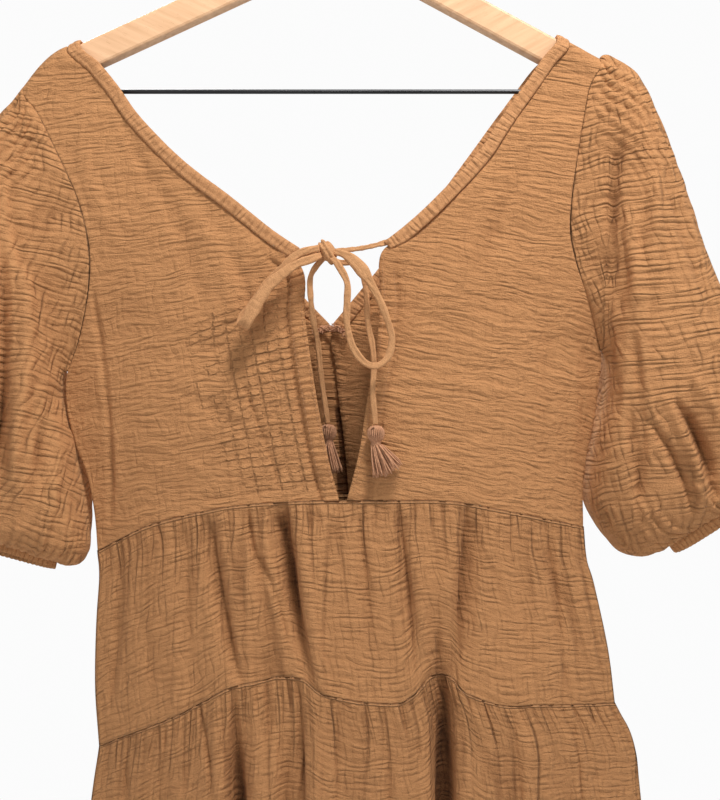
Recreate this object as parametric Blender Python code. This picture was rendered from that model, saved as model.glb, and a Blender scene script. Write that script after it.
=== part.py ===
"""Tiered mini dress of crinkled double gauze cotton, hanging on a wooden hanger.

The tie side faces -Y and Z is up. The origin is the inner top of the hanger's hook,
so everything hangs below it. Tables and named sizes are in millimetres.
"""

import math

import bmesh
import bpy
import numpy as np

MM = 0.001

# Cloth
WALL = 1.2
HALF_SEAM = 0.15
SEAM_STEP = 0.2
WAIST_STEP = 0.7
BINDING_WIDTH = 9.0
BINDING_WALL = 2.4
BINDING_STEP = 0.3
BINDING_LIFT = 0.6
SHOULDER_SKEW = 1.045
SLEEVE_STEP = 0.8
UNDERARM_STEP = (1.3, 1.3)
LEAST_DEPTH = 3.0
FOLD_START = 0.13
GATHER_WANDER = 1.2
RING_POWER = 2.4

# Hanger
ARM_PEAK_Z = -57.8
ARM_SLOPE_LEFT = 0.461
ARM_SLOPE_RIGHT = 0.5415
ARM_END_X = {"left": -208.0, "right": 204.0}
ARM_HEIGHT = 20.0
ARM_DEPTH = 13.0
ARM_ROUND = 2.0
BAR_Z = -180.4
BAR_DIAMETER = 3.4
HOOK_WIRE = 4.0
HOOK_RADIUS = 22.0
HOOK_STEM_Z = (-58.3, -54.0, -50.0)
HOOK_BEND = ((0.9, -45.6), (4.2, -41.6), (9.8, -38.6))
ARM_END_POINTS = 8
BAR_ROUTE = ((-196.0, 0.0, -171.8), (-195.6, 0.0, -176.6), (-192.6, 0.0, -179.6), (-188.0, 0.0, BAR_Z),
             (0.0, 0.0, BAR_Z), (170.0, 0.0, BAR_Z), (174.6, 0.0, -179.9), (177.4, 0.0, -178.4))

# How the cloth lies over the hanger's arms
SHOULDER_DEPTH = 8.2
ROLL_ROWS = ((0.0, 0.0), (0.75, 0.08))
ROLL_DROP = 3.0

# Grids
BODICE_COLUMNS = 8
NECK_ROWS = 10
KEYHOLE_ROWS = 5
BINDING_COLUMNS = 3
TIER_HALF_COLUMNS = 24
TIER_ROWS = (0.0, 0.05, 0.13, 0.24, 0.4, 0.6, 0.8, 1.0)
SLEEVE_HALF_POINTS = 21
CUFF_HALF_POINTS = 18

# Where a panel's own edge starts below the binding's end
CORNER_DROP = {"front": 13.0, "back": 16.0}

# Front view outlines: x, z
NECK_OUTLINE = {
    "left": ((-192.6, -145.0), (-178.0, -162.0), (-161.2, -182.8), (-146.4, -203.5),
             (-115.5, -234.6), (-81.8, -260.4), (-49.0, -286.8), (-30.8, -299.0)),
    "right": ((157.0, -141.2), (142.0, -165.0), (126.5, -186.5), (113.3, -205.7),
              (96.3, -230.9), (62.6, -266.4), (45.9, -281.7), (30.2, -294.3)),
}
KEYHOLE_OUTLINE = {
    "left": ((-30.8, -299.0), (-29.2, -329.2), (-25.6, -358.1), (-20.5, -394.8),
             (-11.1, -445.8), (-2.2, -480.7)),
    "right": ((30.2, -294.3), (27.7, -329.2), (25.6, -362.4), (18.3, -404.9),
              (12.0, -445.8), (3.0, -480.7)),
}
FAR_NECK_OUTLINE = {
    "left": ((-192.6, -145.0), (-150.0, -199.0), (-98.0, -259.0), (-50.0, -310.0), (-10.4, -351.0)),
    "right": ((157.0, -141.2), (118.0, -193.0), (72.0, -255.0), (28.5, -307.0), (-8.2, -351.0)),
}
FAR_SLIT_OUTLINE = {
    "left": ((-10.4, -351.0), (-7.6, -400.0), (-4.6, -440.0), (-2.2, -480.7)),
    "right": ((-8.2, -351.0), (-5.6, -400.0), (-1.0, -440.0), (3.0, -480.7)),
}
SHOULDER_TIP = {
    "left": ((-208.0, -152.1), (-216.0, -157.8), (-226.0, -168.0), (-234.6, -179.0)),
    "right": ((174.0, -150.4), (182.0, -154.8), (189.2, -158.6)),
}
ARMHOLE_OUTLINE = {
    "left": ((-234.6, -179.0), (-225.4, -194.7), (-215.0, -215.2), (-203.8, -238.0), (-194.1, -259.3),
             (-186.8, -285.5), (-184.4, -307.8), (-187.0, -334.6), (-194.1, -363.6), (-203.5, -387.8)),
    "right": ((189.2, -158.6), (181.0, -177.9), (176.0, -204.2), (170.7, -233.6), (166.9, -262.9),
              (166.2, -288.4), (169.3, -303.7), (174.8, -320.5), (182.1, -345.2), (188.7, -371.5)),
}
SIDE_OUTLINE = {
    "left": ((-203.5, -387.8), (-204.2, -408.5), (-202.7, -426.3), (-198.3, -439.6),
             (-190.9, -459.6), (-185.0, -480.3), (-181.3, -520.2)),
    "right": ((188.7, -371.5), (188.7, -390.0), (188.0, -407.0), (184.3, -432.2),
              (179.8, -451.4), (177.6, -472.9), (177.6, -502.5)),
}
WAIST_LEFT = ((-181.3, -520.2), (-169.5, -513.6), (-150.0, -503.8), (-130.1, -496.4),
              (-92.3, -487.5), (-67.0, -483.8), (-32.5, -481.6), (0.4, -480.9))
WAIST_RIGHT = ((0.4, -480.9), (47.8, -481.0), (70.8, -481.3), (90.3, -483.3),
               (112.1, -488.0), (134.3, -492.5), (156.3, -497.5), (177.6, -502.5))
TIER_SEAM_LEFT = ((-179.8, -664.5), (-162.3, -655.6), (-133.4, -642.8), (-105.2, -628.5), (-80.3, -614.0),
                  (-60.0, -610.5), (-41.4, -606.5), (-27.3, -607.0), (-15.0, -616.6), (11.2, -622.7))
TIER_SEAM_RIGHT = ((11.2, -622.7), (38.1, -624.0), (51.0, -617.5), (61.1, -607.5), (78.3, -607.5),
                   (88.6, -617.8), (114.4, -627.1), (140.7, -628.2), (167.2, -630.3), (200.6, -632.7))
HEM_LEFT = ((-212.0, -948.0), (-150.0, -944.0), (-90.0, -940.0), (-30.0, -938.0), (16.0, -939.0))
HEM_RIGHT = ((16.0, -939.0), (70.0, -938.0), (130.0, -938.0), (190.0, -936.0), (246.0, -932.0))
TIER_EDGES = {
    "tier1": (((-181.3, -520.2), (-179.8, -538.7), (-182.0, -574.3), (-182.8, -620.9), (-179.8, -664.5)),
              ((177.6, -502.5), (179.8, -526.2), (185.0, -543.9), (195.4, -592.0), (200.6, -632.7))),
    "tier2": (((-179.8, -664.5), (-185.7, -704.5), (-197.0, -800.0), (-206.0, -880.0), (-212.0, -948.0)),
              ((200.6, -632.7), (214.6, -661.6), (220.5, -710.0), (233.0, -820.0), (246.0, -932.0))),
}

# Bodice depth from the middle plane down each panel: share of length, centre, outer edge
BODICE_DEPTH = (
    (0.00, 8.2, 8.2), (0.10, 9.8, 10.0), (0.22, 12.5, 12.5), (0.34, 15.5, 12.0), (0.43, 18.0, 9.0),
    (0.50, 20.0, 4.5), (0.56, 21.5, 0.15), (0.75, 24.0, 0.15), (1.00, 26.0, 0.15),
)
MIDDLE_X = -2.0
UNDERARM_SHARE = 0.56
WAIST_DEPTH = 26.0
TIER_SEAM_DEPTH = 35.0
HEM_DEPTH = 46.0
DEPTH_POWER = 2.6

# Tier folds: x at the seam above, x at the seam below, half width, depth above, depth below
TIER_FOLDS = {
    "tier1_front": ((-45.9, -24.0, 13.0, 9.0, 13.0), (-69.5, -44.0, 8.0, 3.0, 2.0),
                    (-119.9, -108.0, 9.0, 3.0, 1.5), (-98.4, -76.0, 10.0, 4.0, 9.0),
                    (11.0, 22.0, 8.0, 2.0, 2.5), (40.0, 55.0, 10.0, 3.0, 8.0),
                    (92.5, 84.0, 11.0, 5.0, 10.0), (149.5, 163.0, 9.0, 4.0, 4.0),
                    (-168.0, -172.0, 6.0, 2.0, 2.5)),
    "tier1_back": ((-128.0, -120.0, 10.0, 3.0, 5.0), (-84.0, -66.0, 12.0, 7.0, 11.0),
                   (-38.0, -30.0, 9.0, 3.0, 3.0), (8.0, 0.0, 11.0, 5.0, 8.0),
                   (52.0, 66.0, 12.0, 8.0, 12.0),
                   (104.0, 110.0, 9.0, 3.0, 5.0), (146.0, 158.0, 9.0, 4.0, 4.0)),
    "tier2_front": ((-74.0, -78.0, 15.0, 12.0, 17.0), (-36.0, -48.0, 12.0, 8.0, 13.0),
                    (70.0, 84.0, 19.0, 15.0, 22.0), (-128.0, -146.0, 17.0, 3.0, 14.0),
                    (6.0, 14.0, 18.0, 2.0, 11.0),
                    (118.0, 130.0, 15.0, 4.0, 14.0), (158.0, 184.0, 16.0, 4.0, 13.0)),
    "tier2_back": ((-132.0, -150.0, 17.0, 4.0, 15.0), (-84.0, -96.0, 16.0, 9.0, 18.0),
                   (-30.0, -36.0, 18.0, 4.0, 14.0), (24.0, 30.0, 16.0, 6.0, 16.0),
                   (76.0, 90.0, 18.0, 12.0, 20.0), (134.0, 154.0, 17.0, 5.0, 15.0)),
}
# Folds that the tier seam itself takes: centre x, half width, depth
SEAM_FOLDS = {
    "front": ((-52.0, 26.0, 10.0), (70.0, 20.0, 13.0), (-106.0, 14.0, 3.0)),
    "back": ((-80.0, 24.0, 9.0), (4.0, 18.0, 5.0), (74.0, 24.0, 10.0)),
}
# Gathers below each seam: count, height at the seam, height just below it, how far down they reach
GATHERS = {"tier1": (22, 0.5, 2.0, 40.0), "tier2": (24, 0.7, 2.6, 55.0)}

# Sleeve sections from the armhole down: inner x, z, outer x, z, half depth
SLEEVE_SECTIONS = {
    "left": ((-207.5, -391.0, -240.5, -185.0, 13.0), (-209.5, -400.0, -255.0, -202.0, 21.0),
             (-208.5, -417.0, -280.0, -238.0, 29.0), (-203.5, -438.0, -303.0, -288.0, 34.0),
             (-198.5, -461.0, -320.0, -342.0, 36.0), (-193.0, -485.0, -331.0, -398.0, 37.0),
             (-189.0, -506.0, -336.0, -442.0, 35.0), (-190.0, -521.0, -335.0, -470.0, 31.0),
             (-197.5, -528.5, -328.0, -487.0, 25.0), (-207.0, -527.5, -321.5, -492.0, 19.0)),
    "right": ((192.6, -374.5, 197.0, -157.0, 16.0), (195.0, -383.0, 212.0, -168.0, 22.0),
              (195.5, -401.0, 229.5, -199.0, 29.0), (192.5, -424.0, 251.0, -254.0, 34.0),
              (187.5, -447.0, 273.5, -320.0, 36.0), (183.5, -470.0, 300.0, -370.0, 37.0),
              (184.0, -490.0, 322.0, -410.0, 35.0), (196.0, -509.0, 333.5, -432.0, 31.0),
              (211.0, -521.0, 337.0, -444.0, 25.0), (230.0, -519.0, 334.0, -449.5, 19.0)),
}
# Cuff rings: inner x, z, outer x, z, half depth, rise of the front edge
CUFF_SECTION = {
    "left": (-212.5, -524.0, -317.0, -494.5, 15.0, 5.0),
    "right": (241.5, -513.0, 331.0, -451.0, 15.0, 0.0),
}
CUFF_HEIGHT = 9.0
CUFF_WALL = 2.2
CUFF_RIB_HEIGHT = 0.5
# How the sleeve's cloth enters the cuff: height above its top edge, how much wider
CUFF_ENTRY = ((2.8, 1.2), (0.35, 0.0))
# Share of the cuff's front rise that the last sections above it take
CUFF_TILT = (0.3, 0.7, 1.0)
# Sleeve folds: share of the front or back half ring, share of length from and to, half width, depth
SLEEVE_FOLDS = {
    "left": ((0.62, 0.3, 0.95, 0.07, 9.0), (0.8, 0.35, 0.9, 0.04, 2.5), (0.35, 0.25, 0.85, 0.06, 4.0),
             (1.35, 0.3, 0.9, 0.07, 6.0), (1.65, 0.25, 0.9, 0.06, 5.0)),
    "right": ((0.74, 0.3, 0.9, 0.05, 5.0), (0.45, 0.55, 0.95, 0.05, 4.0), (0.2, 0.2, 0.7, 0.06, 3.0),
              (1.3, 0.3, 0.9, 0.07, 6.0), (1.7, 0.3, 0.9, 0.06, 4.0)),
}
CAP_GATHERS = 9
CAP_GATHER_HEIGHT = 2.0
CAP_GATHER_SPREAD = 0.42
CAP_ROWS = (0.0, 0.09, 0.27, 0.4)
CAP_SHARE = (0.1, 1.0, 0.5, 0.0)

# Ties: routes as x, y, z
TIE_POINT_STEP = 2.5
STRAP_DIAMETER = 3.6
LOOP_DIAMETER = 5.0
TAIL_DIAMETER = 4.2
KNOT_CENTRE = (-11.0, -30.0, -302.8)
KNOT_SIZE = (10.5, 12.0, 15.0)
TIE_ROUTES = {
    "tie_strap_left": (STRAP_DIAMETER, ((-31.2, -20.5, -301.8), (-27.5, -22.2, -303.3),
                                        (-22.5, -25.0, -302.8), (-16.4, -27.8, -302.3))),
    "tie_strap_right": (STRAP_DIAMETER, ((31.3, -20.3, -297.6), (27.3, -21.6, -299.7),
                                         (19.8, -23.5, -300.1), (9.0, -26.0, -300.6),
                                         (-5.7, -28.2, -301.8))),
    "bow_loop_left": (LOOP_DIAMETER, ((-15.0, -33.8, -305.6), (-21.0, -38.2, -308.6), (-34.0, -41.0, -314.0),
                                      (-50.2, -42.5, -327.0), (-61.4, -43.0, -343.0), (-67.5, -42.0, -353.5),
                                      (-70.5, -37.6, -356.5), (-69.5, -34.2, -351.5), (-60.5, -34.6, -338.0),
                                      (-49.0, -34.8, -322.6), (-33.5, -35.8, -307.0), (-24.0, -36.0, -302.6),
                                      (-16.3, -33.7, -300.7))),
    "bow_loop_right": (LOOP_DIAMETER, ((-7.9, -34.3, -307.0), (-3.0, -39.8, -313.0), (3.4, -43.0, -325.5),
                                       (3.6, -44.0, -339.0), (3.4, -44.0, -353.8), (7.0, -43.6, -369.9),
                                       (14.7, -43.0, -381.1), (23.9, -42.5, -384.6), (32.3, -42.0, -378.2),
                                       (35.1, -42.0, -365.5), (31.6, -42.0, -351.5), (25.3, -41.5, -335.9),
                                       (14.7, -40.5, -317.8), (4.0, -37.4, -306.9), (-5.4, -33.5, -303.0))),
    "tie_tail_left": (TAIL_DIAMETER, ((-14.8, -28.2, -308.4), (-19.0, -27.8, -313.0), (-22.9, -28.4, -321.4),
                                      (-22.6, -28.0, -336.2), (-20.8, -22.0, -352.3), (-18.0, -14.0, -368.5),
                                      (-15.6, -10.0, -393.1), (-13.0, -9.0, -411.4), (-10.9, -9.0, -425.8))),
    "tie_tail_right": (TAIL_DIAMETER, ((-6.7, -27.6, -308.2), (-1.0, -27.8, -310.2), (8.6, -30.6, -311.1),
                                       (14.4, -31.8, -318.9), (16.9, -31.8, -330.9), (18.3, -32.0, -352.9),
                                       (21.4, -32.6, -369.3), (22.6, -33.0, -383.5), (21.6, -33.4, -402.1),
                                       (22.8, -33.6, -416.3), (23.6, -33.6, -426.2))),
}
TASSEL_TOPS = {"tassel_left": (-10.7, -9.0, -426.3), "tassel_right": (23.9, -33.6, -426.7)}
TASSEL_LEANS = {"tassel_left": (0.18, 0.0), "tassel_right": (0.42, 0.0)}
TASSEL_PROFILE = ((1.4, 0.0), (4.4, -1.4), (6.1, -4.6), (6.1, -7.6), (4.4, -10.6), (2.9, -12.0),
                  (3.3, -13.2), (4.6, -14.0))
TASSEL_CELL_RADII = (2.7, 1.0)
STRAND_GAP = 0.14
STRAND_TAPER = 0.8
STRAND_SPREAD = 2.1
TASSEL_SECTORS = 12
STRAND_LENGTH = 23.0

# The bar tack that joins the far side's bindings
TACK_SIZE = (15.0, 1.6, 5.0)
TACK_CENTRE = (-9.3, 19.5, -354.5)
TACK_EDGE = 0.5

FINISHES = {
    "cloth": ((0.49, 0.24, 0.10), 0.9, 0.0),
    "wood": ((0.72, 0.42, 0.22), 0.5, 0.0),
    "bar": ((0.02, 0.02, 0.02), 0.45, 0.6),
    "hook": ((0.6, 0.6, 0.6), 0.3, 1.0),
    "tassel": ((0.42, 0.22, 0.15), 0.95, 0.0),
}


def clear_scene():
    """Remove what the scene holds."""
    for thing in list(bpy.data.objects):
        bpy.data.objects.remove(thing, do_unlink=True)


def make_material(slot, finish):
    """Return a new material of one of the finishes."""
    colour, roughness, metallic = FINISHES[finish]
    material = bpy.data.materials.new(slot)
    material.use_nodes = True
    shader = material.node_tree.nodes["Principled BSDF"]
    shader.inputs["Base Color"].default_value = (*colour, 1.0)
    shader.inputs["Roughness"].default_value = roughness
    shader.inputs["Metallic"].default_value = metallic
    return material


def add_object(name, vertices, faces, finish):
    """Add a closed mesh, given in millimetres, as a named object."""
    mesh = bpy.data.meshes.new(name)
    mesh.from_pydata([tuple(c * MM for c in v) for v in vertices], [], faces)
    bm = bmesh.new()
    bm.from_mesh(mesh)
    bmesh.ops.recalc_face_normals(bm, faces=bm.faces)
    bm.to_mesh(mesh)
    bm.free()
    mesh.shade_smooth()
    mesh.set_sharp_from_angle(angle=math.radians(40.0))
    thing = bpy.data.objects.new(name, mesh)
    thing.data.materials.append(make_material(name, finish))
    bpy.context.scene.collection.objects.link(thing)
    return thing


def resample(points, count):
    """Return count points evenly spaced along a polyline."""
    points = np.asarray(points, dtype=float)
    lengths = np.r_[0.0, np.cumsum(np.linalg.norm(np.diff(points, axis=0), axis=1))]
    wanted = np.linspace(0.0, lengths[-1], count)
    return np.stack([np.interp(wanted, lengths, points[:, k]) for k in range(points.shape[1])], axis=1)


def smooth_line(rows, count, steps=12):
    """Return count even points on the smooth curve through a table's rows."""
    rows = np.asarray(rows, dtype=float)
    padded = np.vstack([2 * rows[0] - rows[1], rows, 2 * rows[-1] - rows[-2]])
    fine = []
    for k in range(1, len(padded) - 2):
        before, start, end, after = padded[k - 1:k + 3]
        for t in np.linspace(0.0, 1.0, steps, endpoint=False):
            fine.append(0.5 * (2 * start + (end - before) * t
                               + (2 * before - 5 * start + 4 * end - after) * t ** 2
                               + (3 * start - before - 3 * end + after) * t ** 3))
    fine.append(rows[-1])
    return resample(fine, count)


def fill_patch(first, last, left, right, shares):
    """Return a grid between four edges that share their corners.

    first and last run across, left and right run down with the given shares of the way.
    """
    v = np.asarray(shares)[:, None, None]
    u = np.linspace(0.0, 1.0, len(first))[None, :, None]
    across = (1 - v) * first[None] + v * last[None]
    down = (1 - u) * left[:, None] + u * right[:, None]
    corners = (1 - v) * ((1 - u) * first[0] + u * first[-1]) + v * ((1 - u) * last[0] + u * last[-1])
    return across + down - corners


def dip(distance):
    """Return a soft bump of height 1 that ends at distance 1."""
    return np.where(np.abs(distance) < 1.0, (1.0 - distance ** 2) ** 2, 0.0)


def grid_normals(grid, around, facing):
    """Return unit normals of a grid of points, turned to point along facing."""
    if around:
        across = np.roll(grid, -1, axis=1) - np.roll(grid, 1, axis=1)
    else:
        across = np.gradient(grid, axis=1)
    down = np.gradient(grid, axis=0)
    normals = np.cross(across, down)
    normals /= np.linalg.norm(normals, axis=2, keepdims=True)
    if np.sum(normals * facing) < 0.0:
        normals = -normals
    return normals


def add_wall(name, grid, normals, thickness, around, finish, raised=0.0):
    """Add a closed wall through a grid of mid points.

    raised moves the outer points further out over the plain inside.
    """
    rows, columns = grid.shape[:2]
    outer = grid + normals * (thickness / 2 + np.asarray(raised)[..., None])
    inner = grid - normals * thickness / 2
    vertices = np.vstack([outer.reshape(-1, 3), inner.reshape(-1, 3)])
    half = rows * columns
    faces = []
    spans = columns if around else columns - 1
    for r in range(rows - 1):
        for c in range(spans):
            a, b = r * columns + c, r * columns + (c + 1) % columns
            d, e = a + columns, b + columns
            faces.append((a, b, e, d))
            faces.append((a + half, d + half, e + half, b + half))
    for c in range(spans):
        a, b = c, (c + 1) % columns
        faces.append((b, a, a + half, b + half))
        d, e = a + (rows - 1) * columns, b + (rows - 1) * columns
        faces.append((d, e, e + half, d + half))
    if not around:
        for r in range(rows - 1):
            a, d = r * columns, (r + 1) * columns
            faces.append((a, d, d + half, a + half))
            b, e = a + columns - 1, d + columns - 1
            faces.append((e, b, b + half, e + half))
    return add_object(name, vertices.tolist(), faces, finish)


def offset_line(points, distance, side):
    """Return front view points moved across their line, to the cloth's side of it."""
    along = np.gradient(points, axis=0)
    along /= np.linalg.norm(along, axis=1, keepdims=True)
    across = np.stack([along[:, 1], -along[:, 0]], axis=1)
    if side == "right":
        across = -across
    return points + across * distance


def at_shares(rows, shares):
    """Return points of the smooth curve through rows at shares of its length."""
    fine = smooth_line(rows, 201)
    place = np.linspace(0.0, 1.0, len(fine))
    return np.stack([np.interp(shares, place, fine[:, k]) for k in range(fine.shape[1])], axis=1)


def waist_line():
    """Return the points of the waist seam that every piece on it shares."""
    left = smooth_line(WAIST_LEFT, TIER_HALF_COLUMNS + 1)
    right = smooth_line(WAIST_RIGHT, TIER_HALF_COLUMNS + 1)
    return np.vstack([left, right[1:]])


def tier_seam_line():
    """Return the points of the seam between the two tiers."""
    left = smooth_line(TIER_SEAM_LEFT, TIER_HALF_COLUMNS + 1)
    right = smooth_line(TIER_SEAM_RIGHT, TIER_HALF_COLUMNS + 1)
    return np.vstack([left, right[1:]])


def hem_line():
    """Return the points of the hem."""
    left = smooth_line(HEM_LEFT, TIER_HALF_COLUMNS + 1)
    right = smooth_line(HEM_RIGHT, TIER_HALF_COLUMNS + 1)
    return np.vstack([left, right[1:]])


def bodice_depth(share, x, outer_x):
    """Return how far a bodice row lies from the middle plane."""
    table = np.array(BODICE_DEPTH)
    centre = np.interp(share, table[:, 0], table[:, 1])
    outer = np.interp(share, table[:, 0], table[:, 2])
    reach = np.clip(np.abs((x - MIDDLE_X) / (outer_x - MIDDLE_X)), 0.0, 1.0)
    return outer + (centre - outer) * (1.0 - reach ** DEPTH_POWER)


def neck_lines(layer, side):
    """Return the neck's outer edge and the panel's edge beside the binding, row by row."""
    outline = NECK_OUTLINE if layer == "front" else FAR_NECK_OUTLINE
    edge = smooth_line(outline[side], NECK_ROWS + 1)
    panel = offset_line(edge, BINDING_WIDTH + BINDING_STEP, side)
    turn, slope = (-1.0, ARM_SLOPE_LEFT) if side == "left" else (1.0, ARM_SLOPE_RIGHT)
    along_arm = np.array([turn, -slope]) / math.hypot(1.0, slope)
    panel[0] = edge[0] + along_arm * (BINDING_WIDTH + BINDING_STEP) * SHOULDER_SKEW
    return edge, panel


def opening_line(layer, side):
    """Return the panel's edge down the keyhole or the slit, from below the binding's end."""
    outline = KEYHOLE_OUTLINE if layer == "front" else FAR_SLIT_OUTLINE
    fine = smooth_line(outline[side], 101)
    length = np.linalg.norm(np.diff(fine, axis=0), axis=1).sum()
    start = int(round(100 * CORNER_DROP[layer] / length))
    return resample(fine[start:], KEYHOLE_ROWS + 1)


def with_shoulder_roll(grid, sign):
    """Add the rows that go up and over the hanger's arm to a grid's first row."""
    rolled = []
    for depth_share, drop_share in ROLL_ROWS:
        row = grid[0].copy()
        row[:, 1] = sign * max(HALF_SEAM, SHOULDER_DEPTH * depth_share)
        row[:, 2] += ROLL_DROP * (1.0 - drop_share)
        rolled.append(row)
    return np.concatenate([np.array(rolled), grid], axis=0)


def bodice_grid(layer, side):
    """Return a bodice panel's mid points, from its neck edge out and from the shoulder down."""
    sign = -1.0 if layer == "front" else 1.0
    neck = neck_lines(layer, side)[1]
    opening = opening_line(layer, side)
    inner = np.vstack([neck[:-1], opening])
    armhole = smooth_line(ARMHOLE_OUTLINE[side], NECK_ROWS + 1)
    outer = np.vstack([armhole[:-1], smooth_line(SIDE_OUTLINE[side], KEYHOLE_ROWS + 1)])
    shoulder = smooth_line((tuple(neck[0]),) + SHOULDER_TIP[side], BODICE_COLUMNS + 1)
    waist = waist_line()
    step = TIER_HALF_COLUMNS // BODICE_COLUMNS
    half = waist[TIER_HALF_COLUMNS::-step] if side == "left" else waist[TIER_HALF_COLUMNS::step]
    half = half.copy()
    half[0] = inner[-1]
    shares = np.linspace(0.0, 1.0, len(inner))
    flat = fill_patch(shoulder, half, inner, outer, shares)
    grid = np.zeros((len(inner), BODICE_COLUMNS + 1, 3))
    grid[..., 0] = flat[..., 0]
    grid[..., 2] = flat[..., 1]
    grid[-1, :, 2] += WAIST_STEP
    for r, share in enumerate(row_shares()):
        outer_x = grid[r, -1, 0]
        grid[r, :, 1] = sign * bodice_depth(share, grid[r, :, 0], outer_x)
    grid[0, :, 2] -= ROLL_DROP
    return with_shoulder_roll(grid, sign)


def row_shares():
    """Return each bodice row's share of the way from shoulder to waist."""
    neck = np.linspace(0.0, UNDERARM_SHARE, NECK_ROWS + 1)
    return np.r_[neck, np.linspace(UNDERARM_SHARE, 1.0, KEYHOLE_ROWS + 1)[1:]]


def build_bodice_panel(layer, side):
    """Build one bodice panel and return its mid points and normals."""
    sign = -1.0 if layer == "front" else 1.0
    outward = -1.0 if side == "left" else 1.0
    grid = bodice_grid(layer, side)
    normals = grid_normals(grid, False, np.array([0.0, sign, 0.0]))
    normals[0] = (0.0, 0.0, 1.0)
    normals[-1, :, 2] = 0.0
    first_side_row = len(ROLL_ROWS) + NECK_ROWS
    normals[first_side_row:, -1] = (outward, 0.0, 0.0)
    normals /= np.linalg.norm(normals, axis=2, keepdims=True)
    add_wall(f"bodice_{layer}_{side}", grid, normals, WALL, False, "cloth")
    return grid, normals


def build_binding(layer, side):
    """Build the binding that edges one side of the neck."""
    sign = -1.0 if layer == "front" else 1.0
    edge, panel = neck_lines(layer, side)
    outer_x = smooth_line(ARMHOLE_OUTLINE[side], NECK_ROWS + 1)[:, 0]
    across = np.linspace(0.0, BINDING_WIDTH / (BINDING_WIDTH + BINDING_STEP), BINDING_COLUMNS)[None, :, None]
    flat = edge[:, None] * (1 - across) + panel[:, None] * across
    grid = np.zeros((*flat.shape[:2], 3))
    grid[..., 0] = flat[..., 0]
    grid[..., 2] = flat[..., 1]
    for r, share in enumerate(row_shares()[:NECK_ROWS + 1]):
        grid[r, :, 1] = sign * bodice_depth(share, grid[r, :, 0], outer_x[r])
    grid[0, :, 2] -= ROLL_DROP
    grid[:, :, 1] += sign * BINDING_LIFT
    grid = with_shoulder_roll(grid, sign)
    grid[:len(ROLL_ROWS), :, 2] += BINDING_LIFT
    normals = grid_normals(grid, False, np.array([0.0, sign, 0.0]))
    normals[0] = (0.0, 0.0, 1.0)
    add_wall(f"neck_binding_{layer}_{side}", grid, normals, BINDING_WALL, False, "cloth")


def tier_depth(name, sign, grid, shares):
    """Set a tier panel's distance from the middle plane, folds and gathers included."""
    layer = "front" if sign < 0 else "back"
    first, last = {"tier1": (WAIST_DEPTH, TIER_SEAM_DEPTH), "tier2": (TIER_SEAM_DEPTH, HEM_DEPTH)}[name]
    count, height_at_seam, height_below, reach = GATHERS[name]
    columns = np.linspace(0.0, 1.0, grid.shape[1])
    for r, share in enumerate(shares):
        x = grid[r, :, 0]
        middle, half = (x[0] + x[-1]) / 2, (x[-1] - x[0]) / 2
        side = np.abs((x - middle) / half)
        base = (first + (last - first) * share) * (1.0 - side ** DEPTH_POWER)
        own = np.zeros_like(x)
        for top_x, low_x, width, top_depth, low_depth in TIER_FOLDS[f"{name}_{layer}"]:
            centre = top_x + (low_x - top_x) * share
            own += (top_depth + (low_depth - top_depth) * share) * dip((x - centre) / width)
        seam = np.zeros_like(x)
        for centre, width, depth in SEAM_FOLDS[layer]:
            seam += depth * dip((x - centre) / width)
        if name == "tier1":
            mix = np.clip((share - 0.5) / 0.5, 0.0, 1.0)
            own *= min(1.0, share / FOLD_START)
        else:
            mix = np.clip(1.0 - share / 0.24, 0.0, 1.0)
        folds = (own * (1.0 - mix) + seam * mix) * (1.0 - side ** 6)
        below = np.abs(grid[r, :, 2] - grid[0, :, 2])
        height = height_at_seam + (height_below - height_at_seam) * np.clip(below / 7.0, 0.0, 1.0)
        height *= np.clip(1.0 - below / reach, 0.0, 1.0) * (1.0 - side ** 8)
        wave = height * np.cos(2 * math.pi * count * columns + GATHER_WANDER * np.sin(9.0 * columns))
        depth = np.maximum(base - folds, np.minimum(base, LEAST_DEPTH)) + wave
        grid[r, :, 1] = sign * np.maximum(HALF_SEAM, depth)
    grid[:, (0, -1), 1] = sign * HALF_SEAM


def build_tier_panel(name, layer, top, bottom):
    """Build the front or back panel of a tier."""
    sign = -1.0 if layer == "front" else 1.0
    shares = np.array(TIER_ROWS)
    left, right = (at_shares(rows, shares) for rows in TIER_EDGES[name])
    flat = fill_patch(top, bottom, left, right, shares)
    grid = np.zeros((*flat.shape[:2], 3))
    grid[..., 0] = flat[..., 0]
    grid[..., 2] = flat[..., 1]
    tier_depth(name, sign, grid, shares)
    grid[0, :, 2] -= SEAM_STEP
    if name == "tier1":
        grid[-1, :, 2] += SEAM_STEP
    normals = grid_normals(grid, False, np.array([0.0, sign, 0.0]))
    normals[(0, -1), :, 2] = 0.0
    normals[:, 0] = (-1.0, 0.0, 0.0)
    normals[:, -1] = (1.0, 0.0, 0.0)
    normals /= np.linalg.norm(normals, axis=2, keepdims=True)
    add_wall(f"{name}_{layer}", grid, normals, WALL, False, "cloth")


def half_ring(inner, outer, depth, sign, count):
    """Return the front or back half of a flattened ring, from its outer end to its inner end."""
    angles = np.linspace(0.0, math.pi, 61)
    along = np.sign(np.cos(angles)) * np.abs(np.cos(angles)) ** (2.0 / RING_POWER)
    across = np.abs(np.sin(angles)) ** (2.0 / RING_POWER)
    centre = (np.asarray(inner) + np.asarray(outer)) / 2
    reach = (np.asarray(outer) - np.asarray(inner)) / 2
    level = [centre[0] + reach[0] * along, sign * depth * across, centre[1] + reach[1] * along]
    points = np.stack(level, axis=1)
    return resample(points, count)


def join_halves(front, back):
    """Return a full ring from a front and a back half that both run outer to inner."""
    return np.vstack([front, back[-2:0:-1]])


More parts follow.
